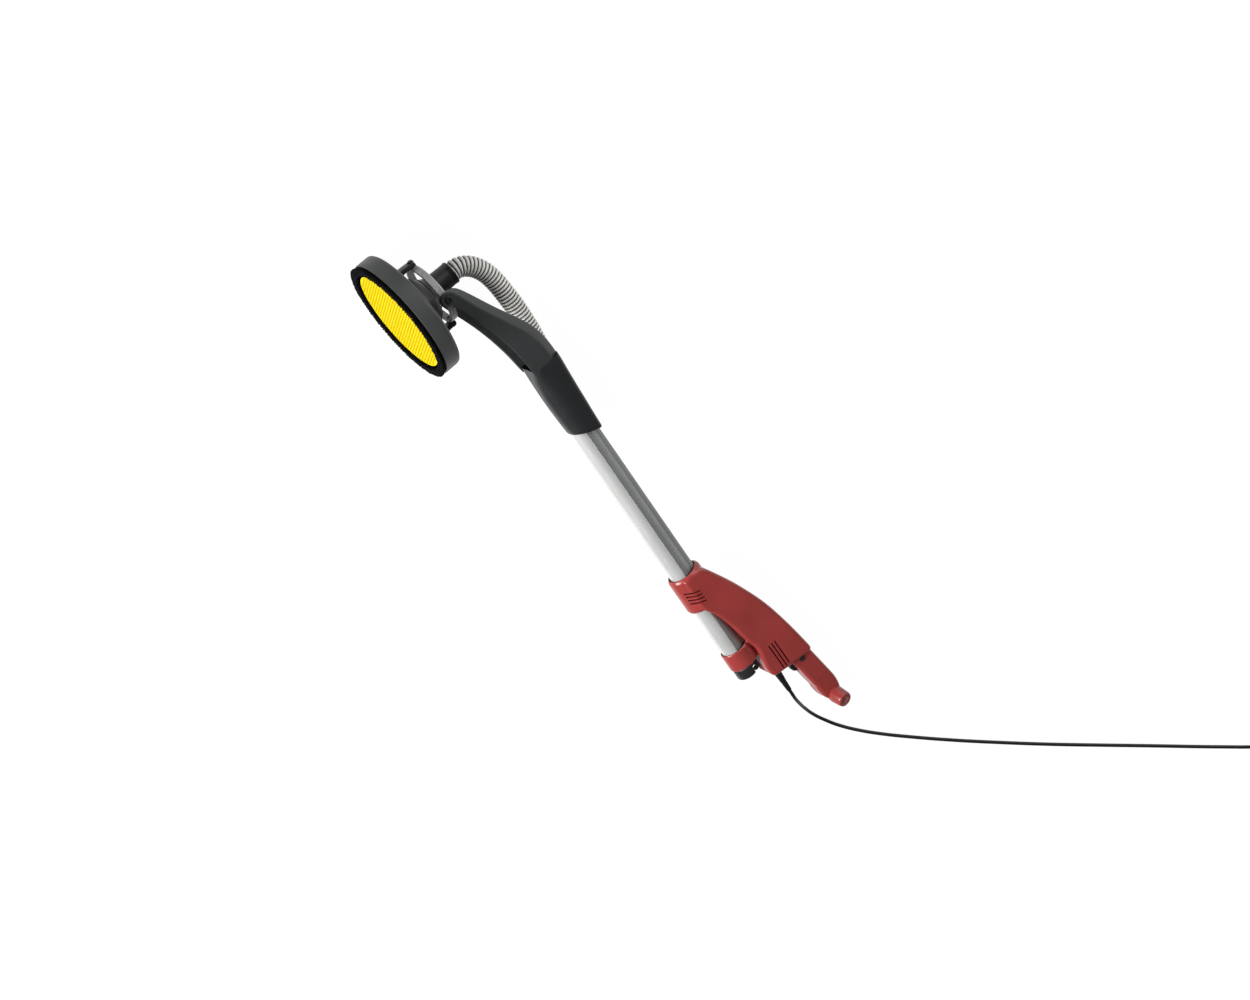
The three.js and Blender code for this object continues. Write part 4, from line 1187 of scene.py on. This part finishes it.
SEALS = (("upper", 846.5, 850.6, 31.4, 27.6), ("lower", 1064.5, 1068, 30.6, 26.4))
for name, u0, u1, half_v, half_w in SEALS:
    section = oval(half_v, half_w, 184)
    seal = along_u(f"{name}_seal", [(section, u0), (section, u1)])
    carve(seal, pole_bar("room", 800, 1200, 0.25))
    split_shading(seal)
    dress(seal, RUBBER, "frame", "rubber")

KNOB_AT = (1313.5, 307.3, 12)
KNOB_AXIS = (0.35, 0.08, 0.93)
knob_turn = Vector((0, 1, 0)).rotation_difference(Vector(KNOB_AXIS)).to_matrix()
KNOB = [(0, 2), (17.6, 2), (18.6, 6), (18.9, 10), (18.3, 20), (17.6, 31), (17.1, 34.6), (15.9, 36.9),
        (14.0, 37.8), (12.2, 37.6), (11.6, 36.7), (3, 36.7), (2.6, 37.0), (0, 37.0)]
knob = turned("end_knob_skin", KNOB, 72, centre=KNOB_AT, turn=knob_turn)
split_shading(knob, 40)
dress(knob, RED, "frame", "red_plastic", "end_knob")

TRIGGER = [(1190.5, 287.5, 0), (1214, 287.5, 0), (1214, 271, 4), (1209, 262, 5), (1196, 259.6, 5),
           (1190.5, 264, 3)]
trigger = pillow("trigger_skin", corners(TRIGGER), 6.8, 1.4, 3)
split_shading(trigger, 40)
dress(trigger, BLACK, "trigger", "black_plastic", "trigger")
LOCK = [(0, 12), (5.9, 12), (5.9, 23.4), (5.2, 24.3), (3.8, 24.6), (2.9, 24.0), (0, 23.8)]
lock = turned("lock_button_skin", LOCK, 40, "w", (1190, 290, 0))
split_shading(lock, 40)
dress(lock, BLACK, "lock_button", "black_plastic", "lock_button")

RELIEF_V = 232
RELIEF_END = 1240


def strain_relief():
    profile = [(0, 1150), (8.4, 1150), (8.4, 1174), (9.4, 1175), (9.6, 1181), (8.7, 1182.5)]
    for i in range(5):
        u = 1184 + 6.4 * i
        wide = 8.5 - 0.42 * i
        profile += [(wide, u), (wide - 0.1, u + 3.8), (wide - 1.1, u + 4.3), (wide - 1.1, u + 5.9)]
    profile += [(6.2, 1217), (5.3, RELIEF_END - 1), (4.9, RELIEF_END), (0, RELIEF_END)]
    relief = turned("strain_relief_skin", profile, 40, "u", (0, RELIEF_V, 0))
    split_shading(relief, 40)
    return relief


dress(strain_relief(), LEAD, "frame", "rubber", "strain_relief")

# ---- CAD nodes that keep their shape

CAD_LOOKS = {
    "black_plastic": BLACK, "cast_metal": CAST, "brass": BRASS, "copper": COPPER, "steel": STEEL,
    "lamination": LAMINATION, "foam": FOAM,
}
CAD_SLOTS = {
    "foam": ["pad_foam"],
    "black_plastic": ["pad_plate", "brush_carrier", "duct_elbow", "fan", "control_module", "switch_body",
                      "lead_tie"],
    "cast_metal": ["gearbox_case", "gearbox_lid", "neck_saddle_right", "neck_saddle_left"],
    "brass": ["flex_ferrule"],
    "copper": ["rotor_stack", "commutator"],
    "lamination": ["stator", "carbon_brush_right", "carbon_brush_left"],
    "steel": ["spindle", "spindle_gear", "spindle_bearing", "pad_screw", "pinion", "rotor_shaft",
              "shaft_coupling", "front_bearing", "rear_bearing", "brush_spring_1", "brush_spring_2",
              "brush_spring_3"],
}
for slot, names in CAD_SLOTS.items():
    for name in names:
        for holder in bpy.data.objects[name].material_slots:
            holder.material = CAD_LOOKS[slot]

make_stage()
